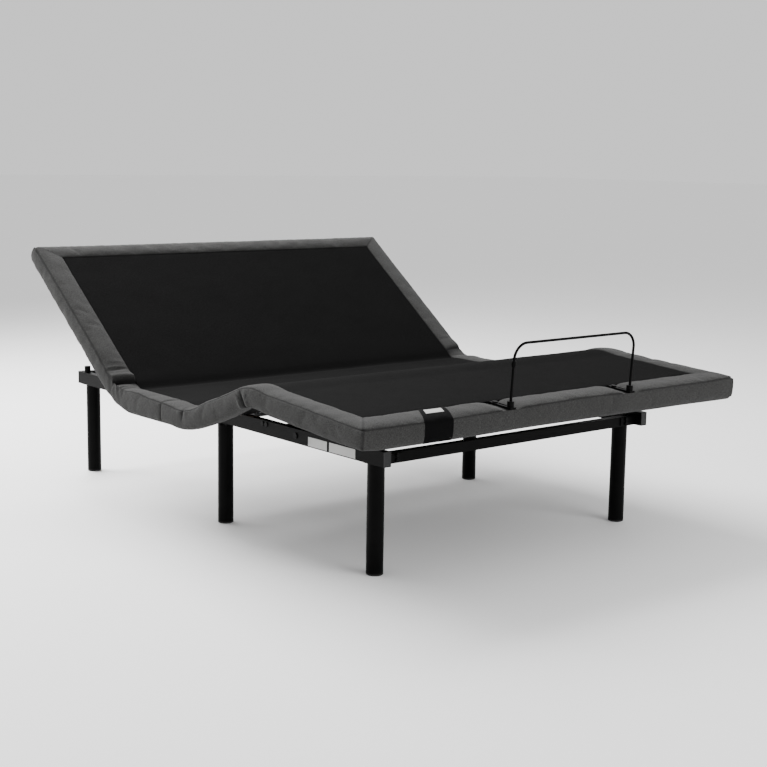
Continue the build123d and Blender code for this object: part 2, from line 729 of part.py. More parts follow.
levers("head_levers", HEAD_SIDE, ACTUATOR_X, 1, HEAD_LEVER, HEAD_LEVER_ANGLE - HEAD_ANGLE,
       HEAD_SLOT_TRAVEL, HEAD_SLOT_RADIUS)
levers("thigh_levers", THIGH_SIDE, -ACTUATOR_X, -1, THIGH_LEVER, -THIGH_LEVER_ANGLE - THIGH_ANGLE,
       THIGH_SLOT_TRAVEL, THIGH_SLOT_RADIUS)


# ---------------------------------------------------------------- linear actuators

ANCHORS = ((ACTUATOR_X, HEAD_ANCHOR, THIGH_CROSS), (-ACTUATOR_X, THIGH_ANCHOR, SEAT_CROSS))


def anchor_brackets():
    """Pairs of ears under the centre cross rails, one pair for each actuator."""
    foot = RAIL_BOTTOM - EAR_FOOT
    with BuildPart() as brackets:
        for x, anchor, cross in ANCHORS:
            ends = [(cross + EAR_FOOT, foot, EAR_FOOT), (cross + RAIL_WIDTH - EAR_FOOT, foot, EAR_FOOT)]
            for low, high in both_sides(EAR_GAP, EAR_GAP + EAR_PLATE):
                web(SIDE, [(*anchor, EAR_RADIUS), *ends], (x + low, x + high))
                disc(SIDE, anchor, PIN_RADIUS, (x + low, x + high), Mode.SUBTRACT)
    save(brackets, "actuator_anchor_brackets")


def anchor_pins():
    """Pins that the actuators swing on."""
    with BuildPart() as pins:
        for x, anchor, _ in ANCHORS:
            disc(SIDE, anchor, PIN_RADIUS, (x - PIN_HALF, x + PIN_HALF))
    save(pins, "actuator_anchor_pins")


def actuator(prefix, x, motor_side, anchor, pin):
    """Gear motor, outer tube, and rod with its cross pin, from an anchor to a lever."""
    dy = pin[0] - anchor[0]
    dz = pin[1] - anchor[1]
    length = hypot(dy, dz)
    axis = (0, dy / length, dz / length)
    origin = (x, anchor[0] - MIDDLE, anchor[1])
    along = Plane(origin=origin, x_dir=(1, 0, 0), z_dir=axis)
    flank = Plane(origin=origin, x_dir=axis, z_dir=(1, 0, 0))

    half = HOUSING_SIZE / 2
    with BuildPart() as housing:
        block(along, (-half, half), (-half, half), HOUSING)
        fillet(housing.edges().filter_by(Axis(origin, axis)), HOUSING_FILLET)
        web(flank, [(0, 0, LUG_RADIUS), (HOUSING[0] + NECK_BITE, 0, LUG_RADIUS)], (-LUG_HALF, LUG_HALF))
        disc(flank, (0, 0), PIN_RADIUS + RUNNING, (-LUG_HALF, LUG_HALF), Mode.SUBTRACT)
        disc(along, (motor_side * MOTOR_OFFSET, 0), MOTOR_RADIUS,
             (HOUSING[0] + MOTOR_START, HOUSING[1] + MOTOR_END))
        neck = sorted((motor_side * half, motor_side * (MOTOR_OFFSET - NECK_BITE)))
        block(along, neck, (-NECK_HALF, NECK_HALF), (HOUSING[0] + NECK_START, HOUSING[0] + NECK_END))
    save(housing, prefix + "_gear_motor")

    with BuildPart() as tube:
        disc(along, (0, 0), ACTUATOR_TUBE_RADIUS, (HOUSING[1], TUBE_END))
        disc(along, (0, 0), ROD_RADIUS + BORE_PLAY, (HOUSING[1], TUBE_END - GLAND), Mode.SUBTRACT)
        disc(along, (0, 0), ROD_RADIUS + RUNNING, (TUBE_END - GLAND, TUBE_END), Mode.SUBTRACT)
    save(tube, prefix + "_actuator_tube")

    eye, back, neck_radius = ROD_EYE
    with BuildPart() as rod:
        disc(along, (0, 0), ROD_RADIUS, (length - ROD_BACK, length - ROD_SHOULDER))
        web(flank, [(length, 0, eye), (length - back, 0, neck_radius)], (-LUG_HALF, LUG_HALF))
        disc(flank, (length, 0), PIN_RADIUS, (-PIN_HALF, PIN_HALF))
    save(rod, prefix + "_actuator_rod")


def lever_pin(hinge, direction, radius, angle):
    """Where a lever's pin stands with the sections raised as modelled."""
    return (hinge + direction * radius * sin(radians(angle)), HINGE_HEIGHT - radius * cos(radians(angle)))


anchor_brackets()
anchor_pins()
actuator("head", ACTUATOR_X, 1, HEAD_ANCHOR,
         lever_pin(HEAD_HINGE, 1, HEAD_LEVER, HEAD_LEVER_ANGLE))
actuator("foot", -ACTUATOR_X, -1, THIGH_ANCHOR,
         lever_pin(THIGH_HINGE, -1, THIGH_LEVER, -THIGH_LEVER_ANGLE))


# ---------------------------------------------------------------- leg-section support

ROLLER_SPOT = (
    LIFT_PIVOT[0] - LIFT_ARM * cos(radians(LIFT_ANGLE)),
    LIFT_PIVOT[1] + LIFT_ARM * sin(radians(LIFT_ANGLE)),
)


def lift_frame():
    """Torque tube across the frame, bored for the pivot pins, with a flat arm near each end."""
    reach = RAIL_INNER - LIFT_END_GAP
    hollow = reach - LIFT_PLUG
    root_radius, tip_radius = LIFT_ARM_ENDS
    with BuildPart() as lift:
        disc(SIDE, LIFT_PIVOT, LIFT_TUBE_RADIUS, (-reach, reach))
        disc(SIDE, LIFT_PIVOT, LIFT_TUBE_RADIUS - TUBE_WALL, (-hollow, hollow), Mode.SUBTRACT)
        disc(SIDE, LIFT_PIVOT, PIVOT_RADIUS + RUNNING, (-reach, reach), Mode.SUBTRACT)
    with BuildPart() as arms:
        for x in both_sides(LIFT_ARM_X, LIFT_ARM_X + LIFT_ARM_PLATE):
            web(SIDE, [(*LIFT_PIVOT, root_radius), (*ROLLER_SPOT, tip_radius)], x)
            disc(SIDE, LIFT_PIVOT, LIFT_TUBE_RADIUS, x, Mode.SUBTRACT)
            disc(SIDE, ROLLER_SPOT, AXLE_RADIUS, x, Mode.SUBTRACT)
    save(lift, "lift_torque_tube")
    save(arms, "lift_arms")


def lift_axles():
    """Axles of the two rollers, fixed in the arms, with a retaining head."""
    head_face = LIFT_ARM_X - ROLLER_WIDTH - 2 * ROLLER_GAP
    flange, thickness = AXLE_HEAD
    with BuildPart() as axles:
        for side in (-1, 1):
            shaft = sorted((side * (LIFT_ARM_X + LIFT_ARM_PLATE), side * head_face))
            head = sorted((side * head_face, side * (head_face - thickness)))
            disc(SIDE, ROLLER_SPOT, AXLE_RADIUS, shaft)
            disc(SIDE, ROLLER_SPOT, AXLE_RADIUS + flange, head)
    save(axles, "roller_axles")


def roller(name, side):
    """Nylon roller that carries the leg section."""
    face = LIFT_ARM_X - ROLLER_GAP
    width = sorted((side * face, side * (face - ROLLER_WIDTH)))
    with BuildPart() as wheel:
        disc(SIDE, ROLLER_SPOT, ROLLER_RADIUS, width)
        disc(SIDE, ROLLER_SPOT, AXLE_RADIUS + RUNNING, width, Mode.SUBTRACT)
    save(wheel, name)


def lift_pivots():
    """Pivot pins through the side rails, with round heads outside."""
    head_radius, head_height = PIVOT_HEAD
    with BuildPart() as pivots:
        for side in (-1, 1):
            shaft = sorted((side * (RAIL_INNER - PIVOT_REACH), side * RAIL_OUTER))
            head = sorted((side * RAIL_OUTER, side * (RAIL_OUTER + head_height)))
            disc(SIDE, LIFT_PIVOT, PIVOT_RADIUS, shaft)
            disc(SIDE, LIFT_PIVOT, head_radius, head)
    save(pivots, "lift_pivot_pins")


def roller_tracks():
    """Steel strips under the leg board that the rollers run on."""
    inward, outward = TRACK_SIDES
    with BuildPart() as tracks:
        for x in both_sides(LIFT_ARM_X - inward, LIFT_ARM_X + outward):
            block(LEG, x, TRACK_RANGE, (BOARD_BOTTOM - TRACK_THICKNESS, BOARD_BOTTOM))
    save(tracks, "roller_tracks")


lift_frame()
lift_axles()
roller("roller_left", -1)
roller("roller_right", 1)
lift_pivots()
roller_tracks()


# ---------------------------------------------------------------- control box

def control_box():
    """Plastic casing under the seat board, open at the top against the board."""
    inside_x = (BOX_X[0] + CASE_WALL, BOX_X[1] - CASE_WALL)
    inside_y = (BOX_Y[0] + CASE_WALL, BOX_Y[1] - CASE_WALL)
    with BuildPart() as casing:
        block(FRAME, BOX_X, BOX_Y, BOX_Z)
        fillet(casing.edges().filter_by(Axis.Z), CASE_FILLET)
        block(FRAME, inside_x, inside_y, (BOX_Z[0] + CASE_WALL, BOX_Z[1]), Mode.SUBTRACT)
        block(FRAME, INLET_X, (BOX_Y[1] - CASE_WALL, BOX_Y[1]), INLET_Z, Mode.SUBTRACT)
    save(casing, "control_box")


def power_inlet():
    """Recessed inlet with three blades, set in the casing's end wall."""
    back = BOX_Y[1] - INLET_DEPTH
    with BuildPart() as inlet:
        block(FRAME, INLET_X, (back, BOX_Y[1]), INLET_Z)
        block(FRAME, (INLET_X[0] + INLET_WALL, INLET_X[1] - INLET_WALL), (back + INLET_WALL, BOX_Y[1]),
              (INLET_Z[0] + INLET_WALL, INLET_Z[1] - INLET_WALL), Mode.SUBTRACT)
        for x in BLADES:
            block(FRAME, (x - 1, x + 1), (back + INLET_WALL, BOX_Y[1] - INLET_WALL), BLADE_Z)
    save(inlet, "power_inlet")


control_box()
power_inlet()


# ---------------------------------------------------------------- retainer bar, label, plates

RETAINER_PLANE = Plane(
    origin=(0, CREST - MIDDLE - RETAINER_FROM_HINGE * cos(radians(LEG_SLOPE)),
            CREST_HEIGHT - RETAINER_FROM_HINGE * sin(radians(LEG_SLOPE))),
    x_dir=(1, 0, 0),
    z_dir=(0, -cos(radians(LEG_SLOPE)), -sin(radians(LEG_SLOPE))),
)


def retainer_bar():
    """Bent wire bar that stops the mattress sliding off the foot edge."""
    with BuildPart() as wire:
        with BuildLine(RETAINER_PLANE) as path:
            FilletPolyline(
                (RETAINER_LEFT, BOSS_FLOOR),
                (RETAINER_LEFT, RETAINER_TOP),
                (RETAINER_RIGHT, RETAINER_TOP),
                (RETAINER_RIGHT, BOSS_FLOOR),
                radius=RETAINER_BEND,
            )
        with BuildSketch(Plane(origin=path.line @ 0, z_dir=path.line % 0)):
            Circle(RETAINER_WIRE)
        sweep()
    save(wire, "retainer_bar")


def retainer_brackets():
    """Two-bar foot brackets, each with a socket for the wire."""
    top = BRACKET_SEAT + BRACKET_HEIGHT
    half = BRACKET_WIDTH / 2
    with BuildPart() as brackets:
        for x in (RETAINER_LEFT, RETAINER_RIGHT):
            block(LEG, (x - half, x + half), (-BRACKET_FRONT, -BRACKET_BACK), (BRACKET_SEAT, top))
            block(LEG, (x - BRACKET_SLOT_HALF, x + BRACKET_SLOT_HALF), BRACKET_SLOT, (BRACKET_SEAT, top),
                  Mode.SUBTRACT)
            disc(LEG, (x, -RETAINER_FROM_HINGE), BOSS_RADIUS, (BRACKET_SEAT, BOSS_TOP))
            disc(LEG, (x, -RETAINER_FROM_HINGE), RETAINER_WIRE, (BOSS_FLOOR, BOSS_TOP), Mode.SUBTRACT)
            disc(LEG, (x, -RETAINER_BOLT), BOLT_RADIUS, (BRACKET_SEAT, top), Mode.SUBTRACT)
    save(brackets, "retainer_brackets")


def retainer_bolts():
    """Bolts through the brackets, the pad and the leg board, with nuts underneath."""
    seat = BRACKET_SEAT + BRACKET_HEIGHT
    head_radius, head_height = RETAINER_BOLT_HEAD
    nut_radius, nut_height = RETAINER_NUT
    with BuildPart() as bolts:
        for hole in RETAINER_HOLES:
            disc(LEG, hole, BOLT_RADIUS, (BOARD_BOTTOM - RETAINER_BOLT_END, seat))
            disc(LEG, hole, head_radius, (seat, seat + head_height))
            disc(LEG, hole, nut_radius, (BOARD_BOTTOM - nut_height, BOARD_BOTTOM))
    save(bolts, "retainer_bolts")


def label_band():
    """Plain woven band that wraps over the foot edge."""
    edge = -LEG_LENGTH
    outside = edge - LABEL_THICKNESS
    above = PAD_TOP + LABEL_THICKNESS
    outline = [
        (edge + LABEL_LENGTH, PAD_TOP),
        (edge, PAD_TOP),
        (edge, SKIRT_BOTTOM),
        (outside, SKIRT_BOTTOM),
        (outside, above),
        (edge + LABEL_LENGTH, above),
    ]
    with BuildPart() as band:
        bar(LEG_SIDE, outline, LABEL_X)
    save(band, "label_band")


def blank_plates():
    """Two blank plates stuck to the left rail."""
    with BuildPart() as plates:
        for y in PLATE_SPANS:
            block(FRAME, (-RAIL_OUTER - PLATE_THICKNESS, -RAIL_OUTER), y, PLATE_HEIGHTS)
    save(plates, "blank_plates")


retainer_bar()
retainer_brackets()
retainer_bolts()
label_band()
blank_plates()
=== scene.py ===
"""The adjustable bed base as it looks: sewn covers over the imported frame, label, materials and light."""
import json
import math

import bmesh
import bpy
import numpy as np
from mathutils import Matrix, Vector, noise


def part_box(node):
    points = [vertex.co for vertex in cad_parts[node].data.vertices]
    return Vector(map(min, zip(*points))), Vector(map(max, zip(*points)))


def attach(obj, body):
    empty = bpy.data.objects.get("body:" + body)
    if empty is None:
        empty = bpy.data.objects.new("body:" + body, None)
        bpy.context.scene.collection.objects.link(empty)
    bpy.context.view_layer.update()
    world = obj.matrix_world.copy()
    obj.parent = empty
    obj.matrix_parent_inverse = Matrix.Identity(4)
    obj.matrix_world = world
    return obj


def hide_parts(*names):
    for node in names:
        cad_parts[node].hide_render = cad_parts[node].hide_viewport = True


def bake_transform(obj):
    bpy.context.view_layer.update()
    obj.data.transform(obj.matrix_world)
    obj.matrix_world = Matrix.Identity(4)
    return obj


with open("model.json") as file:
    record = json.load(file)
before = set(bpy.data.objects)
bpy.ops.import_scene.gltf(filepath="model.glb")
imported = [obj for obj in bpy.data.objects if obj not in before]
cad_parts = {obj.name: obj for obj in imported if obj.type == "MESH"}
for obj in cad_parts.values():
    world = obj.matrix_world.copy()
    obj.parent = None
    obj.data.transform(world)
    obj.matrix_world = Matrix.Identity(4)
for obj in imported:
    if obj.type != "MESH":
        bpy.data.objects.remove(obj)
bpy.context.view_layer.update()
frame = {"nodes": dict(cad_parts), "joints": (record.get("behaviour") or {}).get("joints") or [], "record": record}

# ------------ the frame, laid flat
JOINTS = {joint["name"]: joint for joint in frame["joints"]}
COUPLINGS = {row["joint"]: row for row in frame["record"]["behaviour"]["couplings"]}
X_AXIS, Y_AXIS, Z_AXIS = 0, 1, 2


def pivot(name):
    """A joint's place at rest."""
    return np.array(JOINTS[name]["pos_m"])


def flat_turn(name):
    """The turn about +X, in radians, that brings a joint from rest to the flat deck."""
    driver = COUPLINGS.get(name, {"follows": name, "ratio": 1.0})
    low = math.radians(JOINTS[driver["follows"]]["range_deg"][0])
    return JOINTS[name]["axis"][X_AXIS] * driver["ratio"] * low


def turned(points, centre, angle):
    """Points turned about +X through a centre. The angle may differ from point to point."""
    out = np.array(points, float)
    away_y = out[:, Y_AXIS] - centre[Y_AXIS]
    away_z = out[:, Z_AXIS] - centre[Z_AXIS]
    out[:, Y_AXIS] = centre[Y_AXIS] + away_y * np.cos(angle) - away_z * np.sin(angle)
    out[:, Z_AXIS] = centre[Z_AXIS] + away_y * np.sin(angle) + away_z * np.cos(angle)
    return out


HEAD_PIVOT, THIGH_PIVOT, CREST_PIVOT = pivot("head_lift"), pivot("foot_lift"), pivot("crest_fold")
HEAD_TURN, THIGH_TURN, CREST_TURN = flat_turn("head_lift"), flat_turn("foot_lift"), flat_turn("crest_fold")
FLAT_CREST = turned(CREST_PIVOT[None], THIGH_PIVOT, THIGH_TURN)[0]


def node_points(node):
    """The vertices of a CAD node at rest."""
    return np.array([vertex.co for vertex in frame["nodes"][node].data.vertices])


leg_flat = turned(turned(node_points("leg_pad"), CREST_PIVOT, CREST_TURN), THIGH_PIVOT, THIGH_TURN)
head_flat = turned(node_points("head_pad"), HEAD_PIVOT, HEAD_TURN)
HALF_WIDTH = head_flat[:, X_AXIS].max()
FOOT_END = leg_flat[:, Y_AXIS].min()
HEAD_END = head_flat[:, Y_AXIS].max()
PAD_TOP = head_flat[:, Z_AXIS].max()
PAD_DEPTH, BOARD_GAP = 0.024, 0.0005
HIDDEN = PAD_TOP - PAD_DEPTH + BOARD_GAP  # where the covers rest on the boards, out of sight

SEAM_FROM_THIGH = 0.145
CROSS_SEAM = THIGH_PIVOT[Y_AXIS] + SEAM_FROM_THIGH  # the sewn joint across the seat
MID_THIGH = (THIGH_PIVOT[Y_AXIS] + FLAT_CREST[Y_AXIS]) / 2

# ------------ the folds
HEAD_ZONE, THIGH_ZONE, CREST_ZONE = 0.15, 0.24, 0.22
HALVINGS = 30  # how finely Fold.raised closes in on a point's share


class Fold:
    def __init__(self, a, b, centre, rest_turn, from_a, to_b, zone, before=None):
        self.a, self.b, self.centre, self.rest_turn, self.before = a, b, centre, rest_turn, before
        self.start = centre + np.array((0.0, math.cos(from_a), math.sin(from_a))) * zone / 2
        self.end = centre + np.array((0.0, math.cos(to_b), math.sin(to_b))) * zone / 2

    def share(self, points):
        way = self.end - self.start
        t = np.clip((points - self.start) @ way / (way @ way), 0.0, 1.0)
        return t * t * (3.0 - 2.0 * t)

    def raised(self, flat_points):
        """Rest places of points that are given with the whole deck flat."""
        placed = np.array(flat_points, float)
        if self.before is not None:
            placed = turned(placed, *self.before)
        low, high = np.zeros(len(placed)), np.ones(len(placed))
        for _ in range(HALVINGS):
            middle = (low + high) / 2
            over = self.share(turned(placed, self.centre, self.rest_turn * middle)) > middle
            low, high = np.where(over, middle, low), np.where(over, high, middle)
        return turned(placed, self.centre, self.rest_turn * (low + high) / 2)

    def blend(self, piece):
        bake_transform(piece)


HEAD_FOLD = Fold("base", "head_section", HEAD_PIVOT, -HEAD_TURN, math.pi, -HEAD_TURN, HEAD_ZONE)
SEAT_FOLD = Fold("base", "thigh_section", THIGH_PIVOT, -THIGH_TURN, 0.0, math.pi - THIGH_TURN, THIGH_ZONE)
LEG_SLOPE = -THIGH_TURN - CREST_TURN
CREST_FOLD = Fold("thigh_section", "leg_section", CREST_PIVOT, -CREST_TURN, -THIGH_TURN,
                  math.pi + LEG_SLOPE, CREST_ZONE, before=(THIGH_PIVOT, -THIGH_TURN))

# ------------ the covers' shape, laid flat
SIDE_BORDER = 0.079
FOOT_BORDER = 0.100
HEAD_BORDER = 0.066
WRAP = 0.0395  # how far the border runs in under the boards
CORNER_RADIUS = 0.010
COLUMN, FINE_COLUMN = 0.008, 0.0024  # spacing of the mesh along the border, and at its folds
TOP_STEPS = (0.0, 0.02, 0.05, 0.1, 0.18, 0.3, 0.44, 0.58, 0.72, 0.84, 0.91, 0.96, 0.985, 1.0)
SIDE_STEPS = (0.02, 0.05, 0.1, 0.18, 0.3, 0.44, 0.58, 0.72, 0.84, 0.92, 0.97)
UNDER_STEPS = (0.0, 0.06, 0.3, 0.7, 1.0)
OUTER_SEAM_ROW = len(TOP_STEPS) - 1
EDGE_ROW = OUTER_SEAM_ROW + len(SIDE_STEPS) + 1
OPEN_ROWS = EDGE_ROW + len(UNDER_STEPS)
CROWN = 0.0042  # how far the top panel stands up between its seams
INNER_GROOVE = 0.0022  # how deep the inner seam is drawn in
OUTER_GROOVE, OUTER_EASE = 0.0026, 0.0012  # the same at the outer seam, and the slope beside it
SEAM_TUCK = 0.0022  # how far the outer seam is drawn in from the side
SIDE_BULGE, SIDE_TUCK = 0.0030, 0.0038
HEM_TURN, HEM_INSET = 0.006, 0.009  # the round lower edge, and where the underside starts
UNDER_SAG = 0.0015
INSIDE_STEP = 0.001  # how far the hidden inner wall is past the wrap


def measured(base, *stations):
    """A height along the deck: (distance from a hinge, height over the pad's top) at each station."""
    return [(base[Y_AXIS] + away, PAD_TOP + rise) for away, rise in stations]


SEAM_HEIGHTS = (measured(FLAT_CREST, (-0.528, -0.0015), (0.0, -0.0015))
                + measured(THIGH_PIVOT, (-0.06, -0.002), (0.024, -0.003), (0.098, -0.001), (0.216, 0.004))
                + measured(HEAD_PIVOT, (-0.12, 0.0105), (-0.02, 0.0125), (0.030, 0.009), (0.058, -0.004),
                           (0.085, -0.008), (0.135, -0.004), (0.21, 0.0), (0.36, 0.0), (0.738, -0.005)))
FAR_SEAM_HEIGHTS = (measured(FLAT_CREST, (-0.528, -0.0015), (0.0, -0.0045))
                    + measured(HEAD_PIVOT, (-0.12, -0.003), (-0.045, 0.004), (0.03, 0.002), (0.12, -0.004),
                               (0.738, -0.005)))
EDGE_HEIGHTS = (measured(FLAT_CREST, (-0.528, -0.0605), (-0.39, -0.064), (-0.05, -0.063), (0.01, -0.060),
                         (0.06, -0.064))
                + measured(THIGH_PIVOT, (-0.12, -0.068), (-0.02, -0.063), (0.05, -0.064), (0.2, -0.065))
                + measured(HEAD_PIVOT, (-0.133, -0.0655), (-0.068, -0.0655), (-0.007, -0.0505),
                           (0.04, -0.057), (0.074, -0.0665), (0.152, -0.0675), (0.28, -0.067),
                           (0.738, -0.065)))
# How the foot border's lower edge drops and its seam rises, across the bed
FOOT_DROP = ((-0.762, 0.0015), (-0.690, 0.0067), (-0.40, 0.0074), (-0.15, 0.0058), (0.20, 0.0075),
             (0.47, 0.0090), (0.762, 0.0120))
FOOT_RISE = ((-0.762, -0.0025), (-0.45, -0.0030), (-0.20, 0.0010), (0.08, 0.0045), (0.30, 0.0015),
             (0.60, 0.0010), (0.762, 0.0035))
FOOT_FADE = 0.30  # along the sides, how far from the foot that reaches
DECK_HEIGHTS = (measured(FLAT_CREST, (-0.528, -0.001), (0.0, -0.001))
                + measured(HEAD_PIVOT, (-0.085, -0.001), (-0.036, 0.004), (0.0, 0.0), (0.036, 0.004),
                           (0.085, -0.001), (0.738, -0.001)))


def along(y, stations):
    """Heights between stations, eased from each one to the next."""
    ys, heights = np.array(stations).T
    place = np.clip(np.searchsorted(ys, y) - 1, 0, len(ys) - 2)
    t = np.clip((y - ys[place]) / (ys[place + 1] - ys[place]), 0.0, 1.0)
    return heights[place] + (heights[place + 1] - heights[place]) * t * t * (3 - 2 * t)


def border_rows():
    """The border's section, from its inner seam round to it again.

    A row is (share of the border's width, inset, share of deck, seam and edge height, rise).
    """
    rows = []
    for t in TOP_STEPS:
        crown = CROWN * (4 * t * (1 - t)) ** 0.6
        groove = INNER_GROOVE * (1 - t) ** 40 + OUTER_GROOVE * t ** 60 + OUTER_EASE * t ** 12
        rows.append((1 - t, SEAM_TUCK * t ** 60, 1 - t, t, 0.0, crown - groove))
    for t in SIDE_STEPS:
        bulge = SIDE_BULGE * math.sin(math.pi * t) ** 0.6
        seam = SEAM_TUCK * (1 - t) ** 60
        rows.append((0.0, seam - bulge + HEM_TURN * t ** 12, 0.0, 1 - t, t, -SIDE_TUCK * (1 - t) ** 12))
    for t in UNDER_STEPS:
        inset = HEM_INSET + t * (WRAP - HEM_INSET)
        rows.append((0.0, inset, 0.0, 0.0, 1.0, -UNDER_SAG * math.sin(math.pi * t)))
    rows.append((0.0, WRAP + INSIDE_STEP, 0.0, 0.0, 0.5, HIDDEN / 2))
    rows.append((0.0, WRAP + INSIDE_STEP, 0.0, 0.0, 0.0, HIDDEN))
    rows.append((1.0, INSIDE_STEP / 2, 0.0, 0.0, 0.0, HIDDEN))
    return np.array(rows)


ROWS = border_rows()


def bump(value, centre, width):
    """A smooth hill of height 1."""
    return np.exp(-((value - centre) / width) ** 2)


def pinch(value, centre, width):
    """A sharp crease of depth 1."""
    return np.exp(-np.abs(value - centre) / width)


def ripples(place, slanted, wave):
    """Waves along the border, that slant across it."""
    depth, length, slant, middle, reach = wave
    return depth * np.sin(2 * math.pi * (place + slant * slanted) / length) * bump(place, middle, reach)


def falling(place, edge, beyond, before):
    """1 at an edge, fading away from it at its own rate on each side."""
    return np.exp(-np.where(place > edge, (place - edge) / beyond, (edge - place) / before))


def slanting(line, down):
    """Where a line that runs down the side panel is: its place at the seam and its drift to the hem."""
    return line[0] + line[1] * down


def painted_fold_shade(cut, gain, least, most=1.0):
    """Painted shade in a crease or fold, from how deep in it a point is."""
    return np.clip(gain * cut - least, 0, most)


# The cuff where the head's border laps over the seat's, as distances along the bed from the hinge
CUFF_MOUTH, CUFF_SLANT = 0.052, 0.012  # its edge, and how far that leans back at the inner seam
CUFF_DEPTH, CUFF_INNER = 0.034, 0.3  # its depth, and the share of it at the inner seam
CUFF_FALL, CUFF_SHADOW = (0.006, 0.013), (0.014, 0.022)
CUFF_LIP = (0.010, 0.024, 0.018)  # height, distance past the edge, width
CUFF_ROLL = (0.004, 0.002, 0.022)  # height, place, width
CUFF_RIPPLES = (0.0026, 0.024, -0.006, 0.112, 0.028)  # depth, length, slant, middle, reach
CUFF_PUCKERS = (0.0018, 0.021, 0.012, 0.0, 0.022)
CUFF_RAYS = (0.0020, 0.034, 0.045, 0.03, 0.05)
RIPPLES_ACROSS, PUCKERS_ACROSS = (0.55, 0.4), (0.8, 0.5)
CUFF_PINCH = (0.007, 0.050, 0.009)  # depth, place, width


def cuff_folds(hinge, across, down, top):
    """The cuff of the head's border, its fold, and the wrinkles beside it."""
    mouth = CUFF_MOUTH - CUFF_SLANT * (1 - across)
    depth = CUFF_DEPTH * (CUFF_INNER + (1 - CUFF_INNER) * across)
    lip, past, lip_width = CUFF_LIP
    roll, place, roll_width = CUFF_ROLL
    sink = depth * falling(hinge, mouth, *CUFF_FALL) - lip * bump(hinge, mouth + past, lip_width)
    sink -= roll * bump(hinge, place, roll_width)
    sink += ripples(hinge, across, CUFF_RIPPLES) * bump(across, *RIPPLES_ACROSS)
    sink += ripples(hinge, across, CUFF_PUCKERS) * bump(across, *PUCKERS_ACROSS)
    depth, place, width = CUFF_PINCH
    inward = depth * pinch(hinge, place, width) * (1 - down) ** 2
    inward += ripples(hinge, down, CUFF_RAYS) * (1 - down)
    # Painted shadow in the pocket under the cuff
    shade = painted_fold_shade(falling(hinge, mouth, *CUFF_SHADOW), 2.4, 0.45)
    return (1 - top) * inward, top * sink, top * shade


# The crease where seat and thigh meet, from the thigh's hinge
CREASE = 0.0032  # how wide a sharp crease is
KNEE_LINE, KNEE_END = (0.018, 0.006), 0.6  # its line down the side, and how far down it reaches
KNEE_DEPTH, KNEE_ARM_DEPTH = 0.010, 0.005
KNEE_ARM, KNEE_ARM_SHARE = 0.018, 0.4  # how far its two arms part, over that share of the top
KNEE_LIP, KNEE_LIP_PLACES, KNEE_LIP_WIDTH = 0.003, (0.036, 0.000), 0.012


def knee_folds(knee, across, down, top):
    """The pulled crease where seat and thigh meet. It forks on the top panel."""
    cut = pinch(knee, slanting(KNEE_LINE, down), CREASE) * np.clip(1 - down / KNEE_END, 0, 1)
    lips = sum(bump(knee, place, KNEE_LIP_WIDTH) for place in KNEE_LIP_PLACES)
    inward = KNEE_DEPTH * cut - KNEE_LIP * lips * (1 - down) ** 2
    # Painted shade in the crease and its two arms
    shade = (1 - top) * painted_fold_shade(cut, 2.4, 0.25)
    parted = (1 - across) / KNEE_ARM_SHARE
    sink = np.zeros(len(knee))
    for lean in (-KNEE_ARM, KNEE_ARM):
        cut = pinch(knee, KNEE_LINE[0] + lean * parted, CREASE) * np.clip(1 - parted, 0, 1)
        sink += KNEE_ARM_DEPTH * cut
        shade = np.maximum(shade, top * painted_fold_shade(cut, 2.2, 0.25, 0.95))
    return (1 - top) * inward, top * sink, shade


# The creases of the side panel under the crest, from the crest's hinge
CREST_LINE, CREST_DEPTH, CREST_WIDTH = (0.032, -0.017), 0.015, 0.0034
CREST_OPENING = (1.7, 0.12)  # how soon the crease opens on its way down
CREST_LIP, CREST_LIPS = 0.005, (((0.048, -0.018), 0.010), ((0.008, -0.012), 0.012))
CREST_BRANCH_DEPTH, BRANCH_SHADE = 0.005, 0.7
CREST_BRANCHES = (((0.056, -0.046), (0.42, 0.25)), ((-0.022, 0.040), (0.5, 0.22)))


def crest_folds(crest, down, top):
    """The deep crease under the crest and the two short ones beside it."""
    gain, late = CREST_OPENING
    depth = np.clip(down * gain - late, 0, 1)
    cut = pinch(crest, slanting(CREST_LINE, down), CREST_WIDTH)
    # Painted shade in the creases under the crest
    shade = painted_fold_shade(cut, 2.6, 0.25) * np.sqrt(depth)
    lips = sum(bump(crest, slanting(line, down), width) for line, width in CREST_LIPS)
    inward = (CREST_DEPTH * cut - CREST_LIP * lips) * depth
    for line, height in CREST_BRANCHES:
        cut = pinch(crest, slanting(line, down), CREASE) * bump(down, *height)
        inward += CREST_BRANCH_DEPTH * cut
        shade = np.maximum(shade, BRANCH_SHADE * cut)
    return (1 - top) * inward, np.zeros(len(crest)), (1 - top) * shade


SEAM_REACH, SEAM_IN, SEAM_DOWN = 0.004, 0.0045, 0.004  # the cross seam's width and how far it is drawn in
FAR_SIDE = 0.15  # the right border lies flatter: the share of the folds it keeps


def creases(points, across, down, top):
    """Folds and dents of the border, laid flat, with the painted shade in its creases. across is the share of the
    top panel from the inner seam, down the share of the side panel, and top is 1 on the top panel and 0 on the
    side."""
    y = points[:, Y_AXIS]
    side = np.sign(points[:, X_AXIS])
    parts = (cuff_folds(y - HEAD_PIVOT[Y_AXIS], across, down, top),
             knee_folds(y - THIGH_PIVOT[Y_AXIS], across, down, top),
             crest_folds(y - FLAT_CREST[Y_AXIS], down, top))
    seam = pinch(y, CROSS_SEAM, SEAM_REACH)
    inward = sum(part[0] for part in parts) + (1 - top) * SEAM_IN * seam
    sink = sum(part[1] for part in parts) + top * SEAM_DOWN * seam
    shade = np.maximum.reduce([part[2] for part in parts])
    return inward * side, np.where(side > 0, FAR_SIDE * sink, sink), shade


def cloth_waves(points, strength, size):
    """Slow unevenness of cloth over foam."""
    return np.array([noise.noise(Vector(p) / size) for p in points]) * strength


